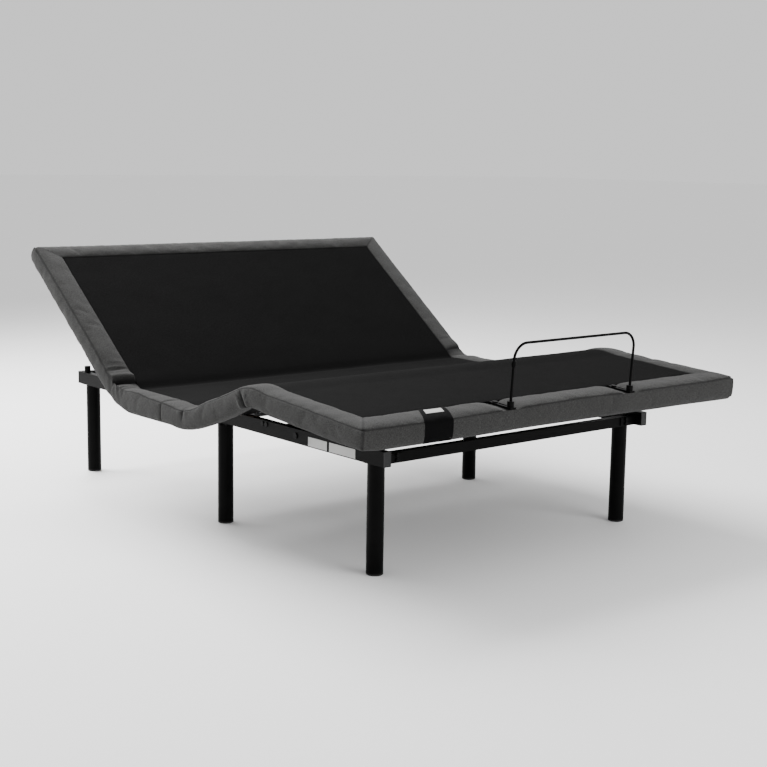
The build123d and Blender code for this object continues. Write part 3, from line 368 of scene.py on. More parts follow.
def rounded(points, end, radius):
    """Corners of the plan turned on an arc."""
    out = points.copy()
    to_side = HALF_WIDTH - np.abs(out[:, X_AXIS])
    to_end = np.abs(out[:, Y_AXIS] - end)
    a, b = np.maximum(radius - to_side, 0), np.maximum(radius - to_end, 0)
    near = (a > 0) & (b > 0)
    shrink = np.where(near, np.maximum(a, b) / np.maximum(np.hypot(a, b), 1e-9), 1.0)
    grown_x = np.where(near, radius - a * shrink, to_side)
    grown_y = np.where(near, radius - b * shrink, to_end)
    out[:, X_AXIS] = np.sign(out[:, X_AXIS]) * (HALF_WIDTH - grown_x)
    out[:, Y_AXIS] = end + np.sign(out[:, Y_AXIS] - end) * grown_y
    return out


FINE_PLACES = ((HEAD_PIVOT[Y_AXIS] + 0.045, 0.085), (THIGH_PIVOT[Y_AXIS] + 0.022, 0.030),
               (FLAT_CREST[Y_AXIS] + 0.005, 0.050), (CROSS_SEAM, 0.016))


def stations(begin, end):
    """Places along a border, closer together where it folds."""
    way = math.copysign(1.0, end - begin)
    places = [begin]
    while (end - places[-1]) * way > 0:
        near = any(abs(places[-1] - centre) < reach for centre, reach in FINE_PLACES)
        places.append(places[-1] + way * (FINE_COLUMN if near else COLUMN))
    places = np.array(places)
    return (places - begin) / (places[-1] - begin)


def side_strip(side, begin, end, end_width):
    """Columns of one side border, from begin to the mitre at end (or to a straight cut)."""
    shares = stations(begin, end)[:, None]
    inset_y = ROWS[:, 0] * end_width + ROWS[:, 1] if end_width else np.zeros(len(ROWS))
    stop = end + inset_y * np.sign(begin - end)
    plan = np.zeros((len(shares), len(ROWS), 3))
    plan[:, :, X_AXIS] = side * (HALF_WIDTH - ROWS[:, 0] * SIDE_BORDER - ROWS[:, 1])
    plan[:, :, Y_AXIS] = begin + (stop - begin) * shares
    return plan


END_COLUMNS = round(2 * HALF_WIDTH / COLUMN)


def end_strip(end, inward, end_width):
    """Columns of the border across one end, from mitre to mitre."""
    plan = np.zeros((END_COLUMNS + 1, len(ROWS), 3))
    across = np.linspace(-1.0, 1.0, END_COLUMNS + 1)[:, None]
    plan[:, :, X_AXIS] = across * (HALF_WIDTH - ROWS[:, 0] * SIDE_BORDER - ROWS[:, 1])
    plan[:, :, Y_AXIS] = end + inward * (ROWS[:, 0] * end_width + ROWS[:, 1])
    return plan


def border_heights(plan):
    """Heights of a border's points from the deck, seam and edge heights."""
    y = plan[:, :, Y_AXIS]
    seam = np.where(plan[:, :, X_AXIS] > HALF_WIDTH - SIDE_BORDER - WRAP, along(y, FAR_SEAM_HEIGHTS),
                    along(y, SEAM_HEIGHTS))
    plan[:, :, Z_AXIS] = (ROWS[:, 2] * along(y, DECK_HEIGHTS) + ROWS[:, 3] * seam
                          + ROWS[:, 4] * along(y, EDGE_HEIGHTS) + ROWS[:, 5])
    x = plan[:, :, X_AXIS]
    foot = np.clip(1 - (y - FOOT_END) / FOOT_FADE, 0, 1)
    foot = foot * foot * (3 - 2 * foot)
    plan[:, :, Z_AXIS] += foot * (ROWS[:, 3] * along(x, FOOT_RISE) - ROWS[:, 4] * along(x, FOOT_DROP))
    return plan


FOOT_PRESS = 0.0125  # how deep the retainer's feet press into the border
FOOT_INSET, FOOT_HALF = 0.011, 0.014
FOOT_PLACE, FOOT_REACH = 0.046, 0.048
FOOT_SOFT = (0.024, 0.018)  # how far the dent fades, across and along the bed


def dented(points, top):
    """The cloth pressed in under the feet of the retainer bar."""
    low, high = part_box("retainer_brackets")
    press = np.zeros(len(points))
    for x in (low.x + FOOT_INSET, high.x - FOOT_INSET):
        away = np.maximum(np.abs(points[:, X_AXIS] - x) - FOOT_HALF, 0)
        behind = np.maximum(np.abs(points[:, Y_AXIS] - FOOT_END - FOOT_PLACE) - FOOT_REACH, 0)
        press += bump(away, 0.0, FOOT_SOFT[0]) * bump(behind, 0.0, FOOT_SOFT[1])
    return top * FOOT_PRESS * press


# ------------ meshes
SHARP = math.radians(50)  # edges that turn more than this stay sharp


def grid_faces(columns, rows, wrap_rows):
    """Quads over a grid of points, closed round its rows where they wrap."""
    faces = []
    for c in range(columns - 1):
        for r in range(rows if wrap_rows else rows - 1):
            n = (r + 1) % rows
            faces.append((c * rows + r, c * rows + n, (c + 1) * rows + n, (c + 1) * rows + r))
    return faces


def slab_faces(columns, rows):
    """Faces between two like grids of points, one over the other, with the walls round them."""
    count = columns * rows
    faces = grid_faces(columns, rows, False)
    faces += [tuple(reversed([i + count for i in face])) for face in faces]
    ring = list(range(rows))
    ring += [c * rows + rows - 1 for c in range(1, columns)]
    ring += [(columns - 1) * rows + r for r in range(rows - 2, -1, -1)]
    ring += [c * rows for c in range(columns - 2, 0, -1)]
    return faces + [(a, b, b + count, a + count) for a, b in zip(ring, ring[1:] + ring[:1])]


def new_mesh(name, points, faces, uvs=None):
    """A mesh piece with a weave map in metres."""
    mesh = bpy.data.meshes.new(name)
    mesh.from_pydata([tuple(map(float, p)) for p in points], [], faces)
    if uvs is not None:
        layer = mesh.uv_layers.new(name="weave")
        for loop in mesh.loops:
            layer.data[loop.index].uv = uvs[loop.vertex_index]
    piece = bpy.data.objects.new(name, mesh)
    bpy.context.scene.collection.objects.link(piece)
    mesh.polygons.foreach_set("use_smooth", [True] * len(mesh.polygons))
    return piece


def closed_mesh(name, points, faces, uvs=None):
    """A closed mesh piece with outward faces and sharp edges at real corners."""
    piece = new_mesh(name, points, faces, uvs)
    shell = bmesh.new()
    shell.from_mesh(piece.data)
    bmesh.ops.recalc_face_normals(shell, faces=shell.faces)
    shell.to_mesh(piece.data)
    shell.free()
    piece.data.set_sharp_from_angle(angle=SHARP)
    return piece


def summed(points):
    """The distance run along a line of points, up to each one."""
    return np.concatenate([[0.0], np.cumsum(np.linalg.norm(np.diff(points, axis=0), axis=1))])


def mark_painted_shade(piece, sewn):
    """Stores painted shade for each point, from how deep in a seam or crease it lies; the cloth's colour is
    darkened by it.
    """
    attribute = piece.data.attributes.new("seam", "FLOAT", "POINT")
    attribute.data.foreach_set("value", np.asarray(sewn, np.float32))


INNER_SEAM_SHADE, INNER_BESIDE_SHADE = 1.0, 0.5  # painted shade of the rows on and beside a seam, from how deep in it they lie
OUTER_SEAM_SHADE, OUTER_BESIDE_SHADE = 0.72, 0.36
MITRE_SEAM_SHADE = 0.9
BUNCHED = (0.055, 0.85)  # the cloth bunches up over the hinge: how far, and how much of a seam's painted shade it takes away
SLOW_WAVES, QUICK_WAVES = (0.0016, 0.06), (0.0008, 0.022)  # unevenness of the border: depth and size


def painted_seam_shade(points, row, column, mitres):
    """Painted shade in a border's seams: how deep in a seam each point lies, from 0 to 1."""
    sewn = np.zeros(len(points))
    sewn[row == 0] = INNER_SEAM_SHADE
    sewn[row == 1] = INNER_BESIDE_SHADE
    sewn[row == OUTER_SEAM_ROW] = OUTER_SEAM_SHADE
    sewn[np.isin(row, (OUTER_SEAM_ROW - 1, OUTER_SEAM_ROW + 1))] = OUTER_BESIDE_SHADE
    sewn[np.isin(column, mitres) & (row <= EDGE_ROW)] = MITRE_SEAM_SHADE
    reach, less = BUNCHED
    bunched = bump(points[:, Y_AXIS], HEAD_PIVOT[Y_AXIS], reach) * (points[:, X_AXIS] < 0)
    return sewn * (1 - less * bunched * (row > 1))


def border_piece(name, strips, fold, end=None, mitres=()):
    """One border, swept, creased, folded up to its rest place and swollen as cloth."""
    plan = border_heights(np.concatenate(strips[:1] + [strip[1:] for strip in strips[1:]]))
    columns, rows = plan.shape[:2]
    points = plan.reshape(-1, 3)
    row, column = np.tile(np.arange(rows), columns), np.repeat(np.arange(columns), rows)
    across, down = np.tile(1 - ROWS[:, 0], columns), np.tile(ROWS[:, 4], columns)
    top = (row <= OUTER_SEAM_ROW).astype(float)
    shown = row < OPEN_ROWS
    inward, sink, shade = creases(points, across, down, top)
    if end is not None:
        points = rounded(points, end, CORNER_RADIUS)
    points[:, X_AXIS] -= inward * shown
    points[:, Z_AXIS] -= (sink + dented(points, top)) * shown
    slack = np.sin(np.pi * np.clip(across, 0, 1)) * 0.5 + 0.5
    waves = cloth_waves(points, *SLOW_WAVES) + cloth_waves(points, *QUICK_WAVES)
    points[:, Z_AXIS] += waves * top * shown * slack
    points[:, X_AXIS] += waves * (1 - top) * shown * np.sign(points[:, X_AXIS]) * (0 < down) * (down < 1)
    run, around = summed(plan[:, OUTER_SEAM_ROW]), summed(plan[0])
    uvs = [(around[r], run[c]) for c in range(columns) for r in range(rows)]
    faces = grid_faces(columns, rows, True)
    faces.append(tuple(range(rows)))
    faces.append(tuple(reversed(range((columns - 1) * rows, columns * rows))))
    piece = closed_mesh(name, fold.raised(points), faces, uvs)
    # Painted shade in the border's seams and creases, kept in the seam attribute for the cloth's colour
    mark_painted_shade(piece, np.maximum(painted_seam_shade(points, row, column, mitres), shade * shown))
    pinned = np.isin(row, (0, OUTER_SEAM_ROW)) | (row >= EDGE_ROW)
    pinned |= (column == 0) | (column == columns - 1)
    swollen(piece, points, pinned)
    return piece


DECK_COLUMNS, DECK_CELL = 96, 0.010
DECK_SEAM_REACH, DECK_SEAM_DEPTH = 0.006, 0.0018
VALLEY_REACH, VALLEY_DEPTH = 0.008, 0.0022  # the fold of the deck over the head's hinge
VALLEY_SHADE = (0.75, 0.035, 0.055)  # painted shade in that valley: how dark it is, how far behind the hinge, how wide
DECK_SLOW, DECK_QUICK = (0.0012, 0.16), (0.0005, 0.045)  # unevenness: depth and size


def deck_piece(name, begin, end, fold, sewn_end=False):
    """The black cloth inside the border, a slab on the board with a stretched top."""
    ny = max(2, int(round(abs(end - begin) / DECK_CELL)))
    half = HALF_WIDTH - SIDE_BORDER
    xs = np.linspace(-half, half, DECK_COLUMNS + 1)
    ys = np.linspace(begin, end, ny + 1)
    grid_y, grid_x = np.meshgrid(ys, xs, indexing="ij")
    top = np.stack([grid_x.ravel(), grid_y.ravel(), along(grid_y.ravel(), DECK_HEIGHTS)], axis=1)
    seam = pinch(np.abs(top[:, X_AXIS]), half, DECK_SEAM_REACH)
    if sewn_end:
        seam = np.maximum(seam, pinch(top[:, Y_AXIS], end, DECK_SEAM_REACH))
    hinge = top[:, Y_AXIS] - HEAD_PIVOT[Y_AXIS]
    top[:, Z_AXIS] -= DECK_SEAM_DEPTH * seam + VALLEY_DEPTH * pinch(hinge, 0.0, VALLEY_REACH)
    top[:, Z_AXIS] += (cloth_waves(top, *DECK_SLOW) + cloth_waves(top, *DECK_QUICK)) * (1 - seam)
    under = top.copy()
    under[:, Z_AXIS] = HIDDEN
    points = np.concatenate([top, under])
    uvs = [(p[X_AXIS], p[Y_AXIS]) for p in points]
    piece = closed_mesh(name, fold.raised(points), slab_faces(ny + 1, DECK_COLUMNS + 1), uvs)
    # Painted shade in the deck's valley over the head's hinge
    dark, behind, reach = VALLEY_SHADE
    mark_painted_shade(piece, dark * bump(points[:, Y_AXIS], HEAD_PIVOT[Y_AXIS] + behind, reach))
    return piece


# ------------ cloth
FRAMES = 18
SWELL_CAP = 0.0025  # how far a point may move
CLOTH = {"quality": 6, "mass": 0.25, "tension_stiffness": 12.0, "compression_stiffness": 12.0,
         "shear_stiffness": 4.0, "bending_stiffness": 0.6, "tension_damping": 10.0,
         "compression_damping": 10.0, "air_damping": 6.0, "pin_stiffness": 1.0,
         "shrink_min": -0.003, "use_pressure": True, "uniform_pressure_force": 0.8}


def swollen(piece, flat_points, pinned):
    """Swells a cover as cloth that is sewn down at its pinned points and cut to its flat size."""
    scene = bpy.context.scene
    before = np.array([v.co for v in piece.data.vertices])
    piece.shape_key_add(name="raised", from_mix=False)
    cut = piece.shape_key_add(name="cut", from_mix=False)
    for index, point in enumerate(flat_points):
        cut.data[index].co = point
    group = piece.vertex_groups.new(name="sewn")
    group.add([int(i) for i in np.nonzero(pinned)[0]], 1.0, "REPLACE")
    modifier = piece.modifiers.new("cloth", "CLOTH")
    settings = modifier.settings
    for name, value in CLOTH.items():
        setattr(settings, name, value)
    settings.effector_weights.gravity = 0.0
    settings.vertex_group_mass = "sewn"
    settings.rest_shape_key = cut
    modifier.collision_settings.use_collision = False
    modifier.point_cache.frame_end = FRAMES
    for number in range(1, FRAMES + 1):
        scene.frame_set(number)
    shown = piece.evaluated_get(bpy.context.evaluated_depsgraph_get())
    after = np.array([v.co for v in shown.data.vertices])
    scene.frame_set(1)
    piece.modifiers.remove(modifier)
    piece.shape_key_clear()
    piece.vertex_groups.clear()
    move = after - before
    size = np.linalg.norm(move, axis=1)
    keep = np.where(size > SWELL_CAP, SWELL_CAP / np.maximum(size, 1e-9), 1.0)
    for vertex, place in zip(piece.data.vertices, before + move * keep[:, None]):
        vertex.co = place
    piece.data.update()


# ------------ materials
def node(tree, kind, **sockets):
    """A shader node with its sockets set."""
    made = tree.nodes.new(kind)
    for name, value in sockets.items():
        made.inputs[name.replace("_", " ")].default_value = value
    return made


def principled(name, color, roughness, metallic=0.0, **sockets):
    """A material with one Principled shader. Returns it with its tree and shader."""
    material = bpy.data.materials.new(name)
    material.use_nodes = True
    tree = material.node_tree
    shader = tree.nodes["Principled BSDF"]
    shader.inputs["Base Color"].default_value = (*color, 1.0)
    shader.inputs["Roughness"].default_value = roughness
    shader.inputs["Metallic"].default_value = metallic
    for key, value in sockets.items():
        shader.inputs[key.replace("_", " ")].default_value = value
    return material, tree, shader


def stretched(tree, source, scale):
    """Texture coordinates, stretched."""
    coordinates = node(tree, "ShaderNodeTexCoord")
    mapping = node(tree, "ShaderNodeMapping")
    mapping.inputs["Scale"].default_value = scale
    tree.links.new(coordinates.outputs[source], mapping.inputs["Vector"])
    return mapping.outputs["Vector"]


def grain(tree, vector, scale, detail=3.0, rough=0.6):
    """Noise."""
    texture = node(tree, "ShaderNodeTexNoise", Scale=scale, Detail=detail, Roughness=rough)
    tree.links.new(vector, texture.inputs["Vector"])
    return texture.outputs["Fac"]


def ramp(tree, value, *stops):
    """A colour that goes from the first stop to the second as the value rises."""
    made = tree.nodes.new("ShaderNodeValToRGB")
    for element, (place, color) in zip(made.color_ramp.elements, stops):
        element.position = place
        element.color = (*color, 1.0)
    tree.links.new(value, made.inputs["Fac"])
    return made.outputs["Color"]


def spread(tree, value, low, high):
    """A value from a texture, spread between two numbers."""
    made = node(tree, "ShaderNodeMapRange", From_Min=0.25, From_Max=0.75, To_Min=low, To_Max=high)
    tree.links.new(value, made.inputs["Value"])
    return made.outputs["Result"]


def maths(tree, operation, a, b):
    made = tree.nodes.new("ShaderNodeMath")
    made.operation = operation
    for socket, value in zip(made.inputs, (a, b)):
        if isinstance(value, (int, float)):
            socket.default_value = value
        else:
            tree.links.new(value, socket)
    return made.outputs["Value"]


def mixed(tree, share, first, second, mode="MIX"):
    made = tree.nodes.new("ShaderNodeMix")
    made.data_type = "RGBA"
    made.blend_type = mode
    colours = [socket for socket in made.inputs if socket.type == "RGBA"]
    for socket, value in zip((made.inputs["Factor"], *colours), (share, first, second)):
        if hasattr(value, "links"):
            tree.links.new(value, socket)
        else:
            socket.default_value = value
    return next(socket for socket in made.outputs if socket.type == "RGBA")


def bumped(tree, shader, height, distance, strength=1.0):
    made = node(tree, "ShaderNodeBump", Strength=strength, Distance=distance)
    tree.links.new(height, made.inputs["Height"])
    tree.links.new(made.outputs["Normal"], shader.inputs["Normal"])


# Painted shade in seams, creases and the deck's valley: its colour and how far it darkens the cloth
PAINTED_SHADE_COLOUR, PAINTED_SHADE_STRENGTH = (0.004, 0.004, 0.004, 1.0), 0.92
THREAD_LENGTH = 0.25  # how much slower a thread changes along itself than across
WAVES_PER_THREAD = 1 / 6.28


def woven(name, dark, light, thread, roughness, sheen, bump_depth, gloss=0.12):
    """Cloth: two sets of threads, each a little different in colour and height, darkened by painted shade from the
    seam attribute.
    """
    material, tree, shader = principled(name, dark, roughness, Sheen_Weight=sheen, Sheen_Roughness=0.5)
    shader.inputs["Specular IOR Level"].default_value = gloss
    fine = 1.0 / thread
    warp = grain(tree, stretched(tree, "UV", (fine, fine * THREAD_LENGTH, fine)), 1.0, 3.0)
    weft = grain(tree, stretched(tree, "UV", (fine * THREAD_LENGTH, fine, fine)), 1.0, 3.0)
    threads = maths(tree, "ADD", maths(tree, "MULTIPLY", warp, 0.5), maths(tree, "MULTIPLY", weft, 0.5))
    slow = grain(tree, stretched(tree, "Object", (9.0, 9.0, 9.0)), 1.0, 3.0)
    tone = ramp(tree, threads, (0.38, dark), (0.64, light))
    shade = ramp(tree, slow, (0.3, (0.86, 0.86, 0.86)), (0.7, (1.0, 1.0, 1.0)))
    tone = mixed(tree, 1.0, tone, shade, "MULTIPLY")
    # Painted shade: the seam attribute darkens the cloth towards near black
    seam = node(tree, "ShaderNodeAttribute")
    seam.attribute_name = "seam"
    depth = maths(tree, "MULTIPLY", seam.outputs["Fac"], PAINTED_SHADE_STRENGTH)
    tree.links.new(mixed(tree, depth, tone, PAINTED_SHADE_COLOUR), shader.inputs["Base Color"])
    waves = []
    for direction in ("X", "Y"):
        wave = node(tree, "ShaderNodeTexWave", Scale=fine * WAVES_PER_THREAD, Distortion=0.6)
        wave.bands_direction = direction
        tree.links.new(stretched(tree, "UV", (1.0, 1.0, 1.0)), wave.inputs["Vector"])
        waves.append(wave.outputs["Fac"])
    weave = maths(tree, "ADD", maths(tree, "MULTIPLY", waves[0], waves[1]), threads)
    bumped(tree, shader, weave, bump_depth)
    tree.links.new(spread(tree, threads, roughness - 0.06, roughness + 0.05), shader.inputs["Roughness"])
    return material


def coated(name, color, roughness, peel=0.0002, gloss=0.25):
    """Powder coat, plastic or rubber: fine orange peel and a little uneven tone."""
    material, tree, shader = principled(name, color, roughness)
    shader.inputs["Specular IOR Level"].default_value = gloss
    place = stretched(tree, "Object", (1.0, 1.0, 1.0))
    fine = grain(tree, place, 900.0, 2.0)
    slow = grain(tree, place, 14.0, 4.0)
    lighter = tuple(min(1.0, c * 1.2 + 0.001) for c in color)
    tree.links.new(ramp(tree, slow, (0.35, color), (0.7, lighter)), shader.inputs["Base Color"])
    tree.links.new(spread(tree, slow, roughness - 0.03, roughness + 0.04), shader.inputs["Roughness"])
    bumped(tree, shader, fine, peel)
    return material


def metal(name, color, roughness, streak, along_axis=(1.0, 1.0, 1.0)):
    """Drawn or plated metal with fine streaks."""
    material, tree, shader = principled(name, color, roughness, metallic=1.0)
    lines = grain(tree, stretched(tree, "Object", tuple(400.0 * v for v in along_axis)), 1.0, 2.0)
    slow = grain(tree, stretched(tree, "Object", (30.0, 30.0, 30.0)), 1.0, 3.0)
    darker = tuple(c * 0.7 for c in color)
    tree.links.new(ramp(tree, slow, (0.3, darker), (0.65, color)), shader.inputs["Base Color"])
    tree.links.new(spread(tree, lines, roughness - streak, roughness + streak), shader.inputs["Roughness"])
    bumped(tree, shader, lines, 0.00005)
    return material


def plywood():
    """Face veneer with slow rings and fine fibre."""
    material, tree, shader = principled("plywood", (0.45, 0.3, 0.17), 0.55)
    rings = node(tree, "ShaderNodeTexWave", Scale=3.0, Distortion=6.0, Detail=3.0, Detail_Scale=1.2)
    rings.bands_direction = "X"
    tree.links.new(stretched(tree, "Object", (5.0, 0.5, 5.0)), rings.inputs["Vector"])
    fibre = grain(tree, stretched(tree, "Object", (500.0, 18.0, 500.0)), 1.0, 3.0)
    mix = maths(tree, "ADD", maths(tree, "MULTIPLY", rings.outputs["Fac"], 0.45),
                maths(tree, "MULTIPLY", fibre, 0.55))
    tone = ramp(tree, mix, (0.2, (0.30, 0.185, 0.095)), (0.75, (0.56, 0.41, 0.25)))
    tree.links.new(tone, shader.inputs["Base Color"])
    tree.links.new(spread(tree, fibre, 0.48, 0.68), shader.inputs["Roughness"])
    bumped(tree, shader, fibre, 0.0003)
    return material


MATERIALS = {
    "black_powder_coat": coated("black_powder_coat", (0.0014, 0.0014, 0.0014), 0.36, gloss=0.035),
    "black_bolt": coated("black_bolt", (0.0016, 0.0016, 0.0016), 0.34, gloss=0.05),
    "zinc_steel": metal("zinc_steel", (0.55, 0.56, 0.58), 0.38, 0.08),
    "black_plastic": coated("black_plastic", (0.009, 0.009, 0.0095), 0.5, peel=0.0003),
    "nylon": coated("nylon", (0.62, 0.61, 0.57), 0.45),
    "plywood": plywood(),
    "rubber": coated("rubber", (0.012, 0.012, 0.012), 0.75, peel=0.0004),
    "tube_aluminium": metal("tube_aluminium", (0.62, 0.63, 0.65), 0.3, 0.08, (1.0, 0.05, 1.0)),
    "rod_chrome": metal("rod_chrome", (0.82, 0.82, 0.84), 0.12, 0.03, (1.0, 0.05, 1.0)),
    "border_fabric": woven("border_fabric", (0.0122, 0.0122, 0.0119), (0.0470, 0.0466, 0.0455), 0.0018, 0.9,
                           0.06, 0.0006),
    "deck_cloth": woven("deck_cloth", (0.0024, 0.0024, 0.0024), (0.0084, 0.0084, 0.0084), 0.0022, 0.85, 0.0,
                        0.0005, gloss=0.02),
    "label_cloth": woven("label_cloth", (0.0013, 0.0013, 0.0014), (0.0035, 0.0035, 0.0037), 0.0009, 0.65,
                         0.0, 0.0002, gloss=0.02),
    "blank_white": coated("blank_white", (0.42, 0.42, 0.41), 0.45, peel=0.0001),
}


def dress(piece, slot_name):
    """Gives a new piece the material of that name."""
    piece.data.materials.clear()
    piece.data.materials.append(MATERIALS[slot_name])


def dress_cad():
    """Gives each CAD node the material that the record names for it."""
    for subpart in frame["record"]["subparts"]:
        shape = frame["nodes"][subpart["node"]]
        if not shape.material_slots:
            shape.data.materials.append(None)
        for material_slot in shape.material_slots:
            material_slot.material = MATERIALS[subpart["material_slot"]]


dress_cad()


def end_cover(name, begin, end, end_width, fold):
    """The cover of one end of the bed. Returns its border, its deck and the end border's first column."""
    inward = math.copysign(1.0, begin - end)
    left, right = (side_strip(side, begin, end, end_width) for side in (-1, 1))
    across = end_strip(end, inward, end_width)
    first = len(left) - 1
    mitres = (first, first + len(across) - 1)
    border = border_piece(name + "_cover_border", [left, across, right[::-1]], fold, end, mitres)
    deck = deck_piece(name + "_cover_deck", begin, end + inward * end_width, fold, sewn_end=True)
    return border, deck, first


def seat_cover():
    """The seat's two side borders and its deck."""
    borders = [border_piece("seat_cover_border_" + name,
                            [side_strip(side, CROSS_SEAM, MID_THIGH, 0.0)], SEAT_FOLD)
               for name, side in (("left", -1), ("right", 1))]
    return *borders, deck_piece("seat_cover_deck", CROSS_SEAM, MID_THIGH, SEAT_FOLD)


head_border, head_deck, _ = end_cover("head", CROSS_SEAM, HEAD_END, HEAD_BORDER, HEAD_FOLD)
seat_left, seat_right, seat_deck = seat_cover()
leg_border, leg_deck, foot_column = end_cover("leg", MID_THIGH, FOOT_END, FOOT_BORDER, CREST_FOLD)
for piece, fold in ((head_border, HEAD_FOLD), (head_deck, HEAD_FOLD), (leg_border, CREST_FOLD),
                    (leg_deck, CREST_FOLD), (seat_left, SEAT_FOLD), (seat_right, SEAT_FOLD),
                    (seat_deck, SEAT_FOLD)):
    dress(piece, "deck_cloth" if piece.name.endswith("deck") else "border_fabric")
    fold.blend(piece)
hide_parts("head_pad")
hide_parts("seat_pad")
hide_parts("thigh_pad")
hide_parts("leg_pad")

# ------------ sewn label on the foot border
LABEL_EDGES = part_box("label_band")
LABEL_LIFT, LABEL_THICKNESS = 0.0006, 0.0010
LABEL_COLUMNS, LABEL_ROW_STEP, LABEL_UNDER = 15, 0.5, 3  # its grid, and how many rows it runs in under
PATCH_COLUMNS, PATCH_STEPS = (0.16, 0.82), (0.26, 0.60)  # shares of the label's width, of the top panel
PATCH_GRID = (9, 7)
SMOOTHINGS = 3


def column_of(x):
    """The column of the foot border, as a fraction, at a place across the bed."""
    return foot_column + (x + HALF_WIDTH) / (2 * HALF_WIDTH) * END_COLUMNS


def on_border(columns, rows, lift):
    """Points over the foot border at fractional columns and rows, smoothed across its seams."""
    mesh = leg_border.data
    count = len(ROWS)
    points = np.array([vertex.co for vertex in mesh.vertices]).reshape(-1, count, 3)
    normals = np.array([vertex.normal for vertex in mesh.vertices]).reshape(-1, count, 3)
    lifted = points + normals * lift
    last = EDGE_ROW + LABEL_UNDER
    for _ in range(SMOOTHINGS):
        beside = lifted[:, :last - 1] + lifted[:, 2:last + 1]
        lifted[:, 1:last] = lifted[:, 1:last] * 0.5 + beside * 0.25
    low_c, low_r = np.floor(columns).astype(int), np.floor(rows).astype(int)
    part_c, part_r = (columns - low_c)[:, None, None], (rows - low_r)[None, :, None]
    high_c, high_r = low_c + 1, np.minimum(low_r + 1, count - 1)
    near = lifted[low_c][:, low_r] * (1 - part_r) + lifted[low_c][:, high_r] * part_r
    far = lifted[high_c][:, low_r] * (1 - part_r) + lifted[high_c][:, high_r] * part_r
    return near * (1 - part_c) + far * part_c


def slab(name, top, under):
    """A thin closed sheet between two grids of points. Returns it with its width and length."""
    columns, rows = top.shape[:2]
    across, down = summed(top[:, rows // 2]), summed(top[columns // 2])
    uvs = [(across[c], down[r]) for c in range(columns) for r in range(rows)] * 2
    points = np.concatenate([top.reshape(-1, 3), under.reshape(-1, 3)])
    return closed_mesh(name, points, slab_faces(columns, rows), uvs), (float(across[-1]), float(down[-1]))


def cloth_label():
    """The woven band over the foot edge, with a blank patch."""
    low, high = LABEL_EDGES
    columns = np.linspace(column_of(low.x), column_of(high.x), LABEL_COLUMNS)
    rows = np.arange(0, EDGE_ROW + LABEL_UNDER + LABEL_ROW_STEP, LABEL_ROW_STEP)
    label, flat = slab("foot_label", on_border(columns, rows, LABEL_LIFT + LABEL_THICKNESS),
                       on_border(columns, rows, LABEL_LIFT))
    dress(label, "label_cloth")
    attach(label, "leg_section")
    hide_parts("label_band")
    between = columns[0] + (columns[-1] - columns[0]) * np.linspace(*PATCH_COLUMNS, PATCH_GRID[0])
    steps = np.interp(np.linspace(*PATCH_STEPS, PATCH_GRID[1]), TOP_STEPS, np.arange(len(TOP_STEPS)))
    patch, flat = slab("foot_label_patch", on_border(between, steps, LABEL_LIFT + 2.0 * LABEL_THICKNESS),
                       on_border(between, steps, LABEL_LIFT + LABEL_THICKNESS))
    dress(patch, "blank_white")
    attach(patch, "leg_section")


cloth_label()

# ------------ joint sleeve on the retainer bar
SLEEVE_FALL = 0.0605  # how far the sleeve's middle is below the bar's top
SLEEVE_SIDES = 28
BAR_RADIUS = 0.004
SLEEVE_OUTLINE = ((0.0, 0.0037), (0.0, 0.0052), (0.0012, 0.0060), (0.0045, 0.0064), (0.0085, 0.0066),
                  (0.0125, 0.0064), (0.0158, 0.0060), (0.0170, 0.0052), (0.0170, 0.0037))


def retainer_sleeve():
    """The ring where the retainer's left upright is joined to its bent top."""
    bar = node_points("retainer_bar")
    left_edge = bar[:, X_AXIS].min()
    upright = bar[bar[:, X_AXIS] < left_edge + 2 * BAR_RADIUS]
    heights = upright[:, Z_AXIS]
    lower = upright[heights < heights.min() + BAR_RADIUS].mean(axis=0)
    upper = upright[heights > heights.max() - BAR_RADIUS].mean(axis=0)
    lower[X_AXIS] = upper[X_AXIS] = left_edge + BAR_RADIUS
    way = (upper - lower) / np.linalg.norm(upper - lower)
    middle = lower + way * (bar[:, Z_AXIS].max() - SLEEVE_FALL - lower[Z_AXIS]) / way[Z_AXIS]
    first = np.array((1.0, 0.0, 0.0))
    second = np.cross(way, first)
    sides, rings = SLEEVE_SIDES, len(SLEEVE_OUTLINE)
    points = []
    for rise, radius in SLEEVE_OUTLINE:
        for turn in (2 * math.pi * index / sides for index in range(sides)):
            around = first * math.cos(turn) + second * math.sin(turn)
            points.append(middle + way * (rise - SLEEVE_OUTLINE[-1][0] / 2) + around * radius)
    faces = [(r * sides + c, r * sides + (c + 1) % sides, (r + 1) % rings * sides + (c + 1) % sides,
              (r + 1) % rings * sides + c) for r in range(rings) for c in range(sides)]
    piece = closed_mesh("retainer_sleeve", points, faces)
    dress(piece, "black_powder_coat")
    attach(piece, "leg_section")


retainer_sleeve()

# ------------ dust covers and staples underneath
DUST_MARGIN = 0.004
DUST_THICKNESS = 0.0007
DUST_GAP = 0.0001  # between the board and the cloth
DUST_GRID = (64, 30)
DUST_SAG, DUST_WAVE, DUST_HELD = 0.0006, 0.05, 0.03  # depth, size, and how far in from its edge it is held
POST_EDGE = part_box("head_locating_posts")[0].y - 0.008  # the head's cover stops short of the posts
STAPLE_PITCH, STAPLE_WIDTH, STAPLE_WIRE = 0.065, 0.011, 0.0012
STAPLE_INSET, STAPLE_LEAN = 0.008, 0.25
STAPLE_LEG, STAPLE_KNEE, STAPLE_INNER = 0.001, 0.0006, 0.0002
STAPLE_CAP = ((0, 1, 8, 9), (1, 2, 3, 4), (1, 4, 7, 8), (4, 5, 6, 7))


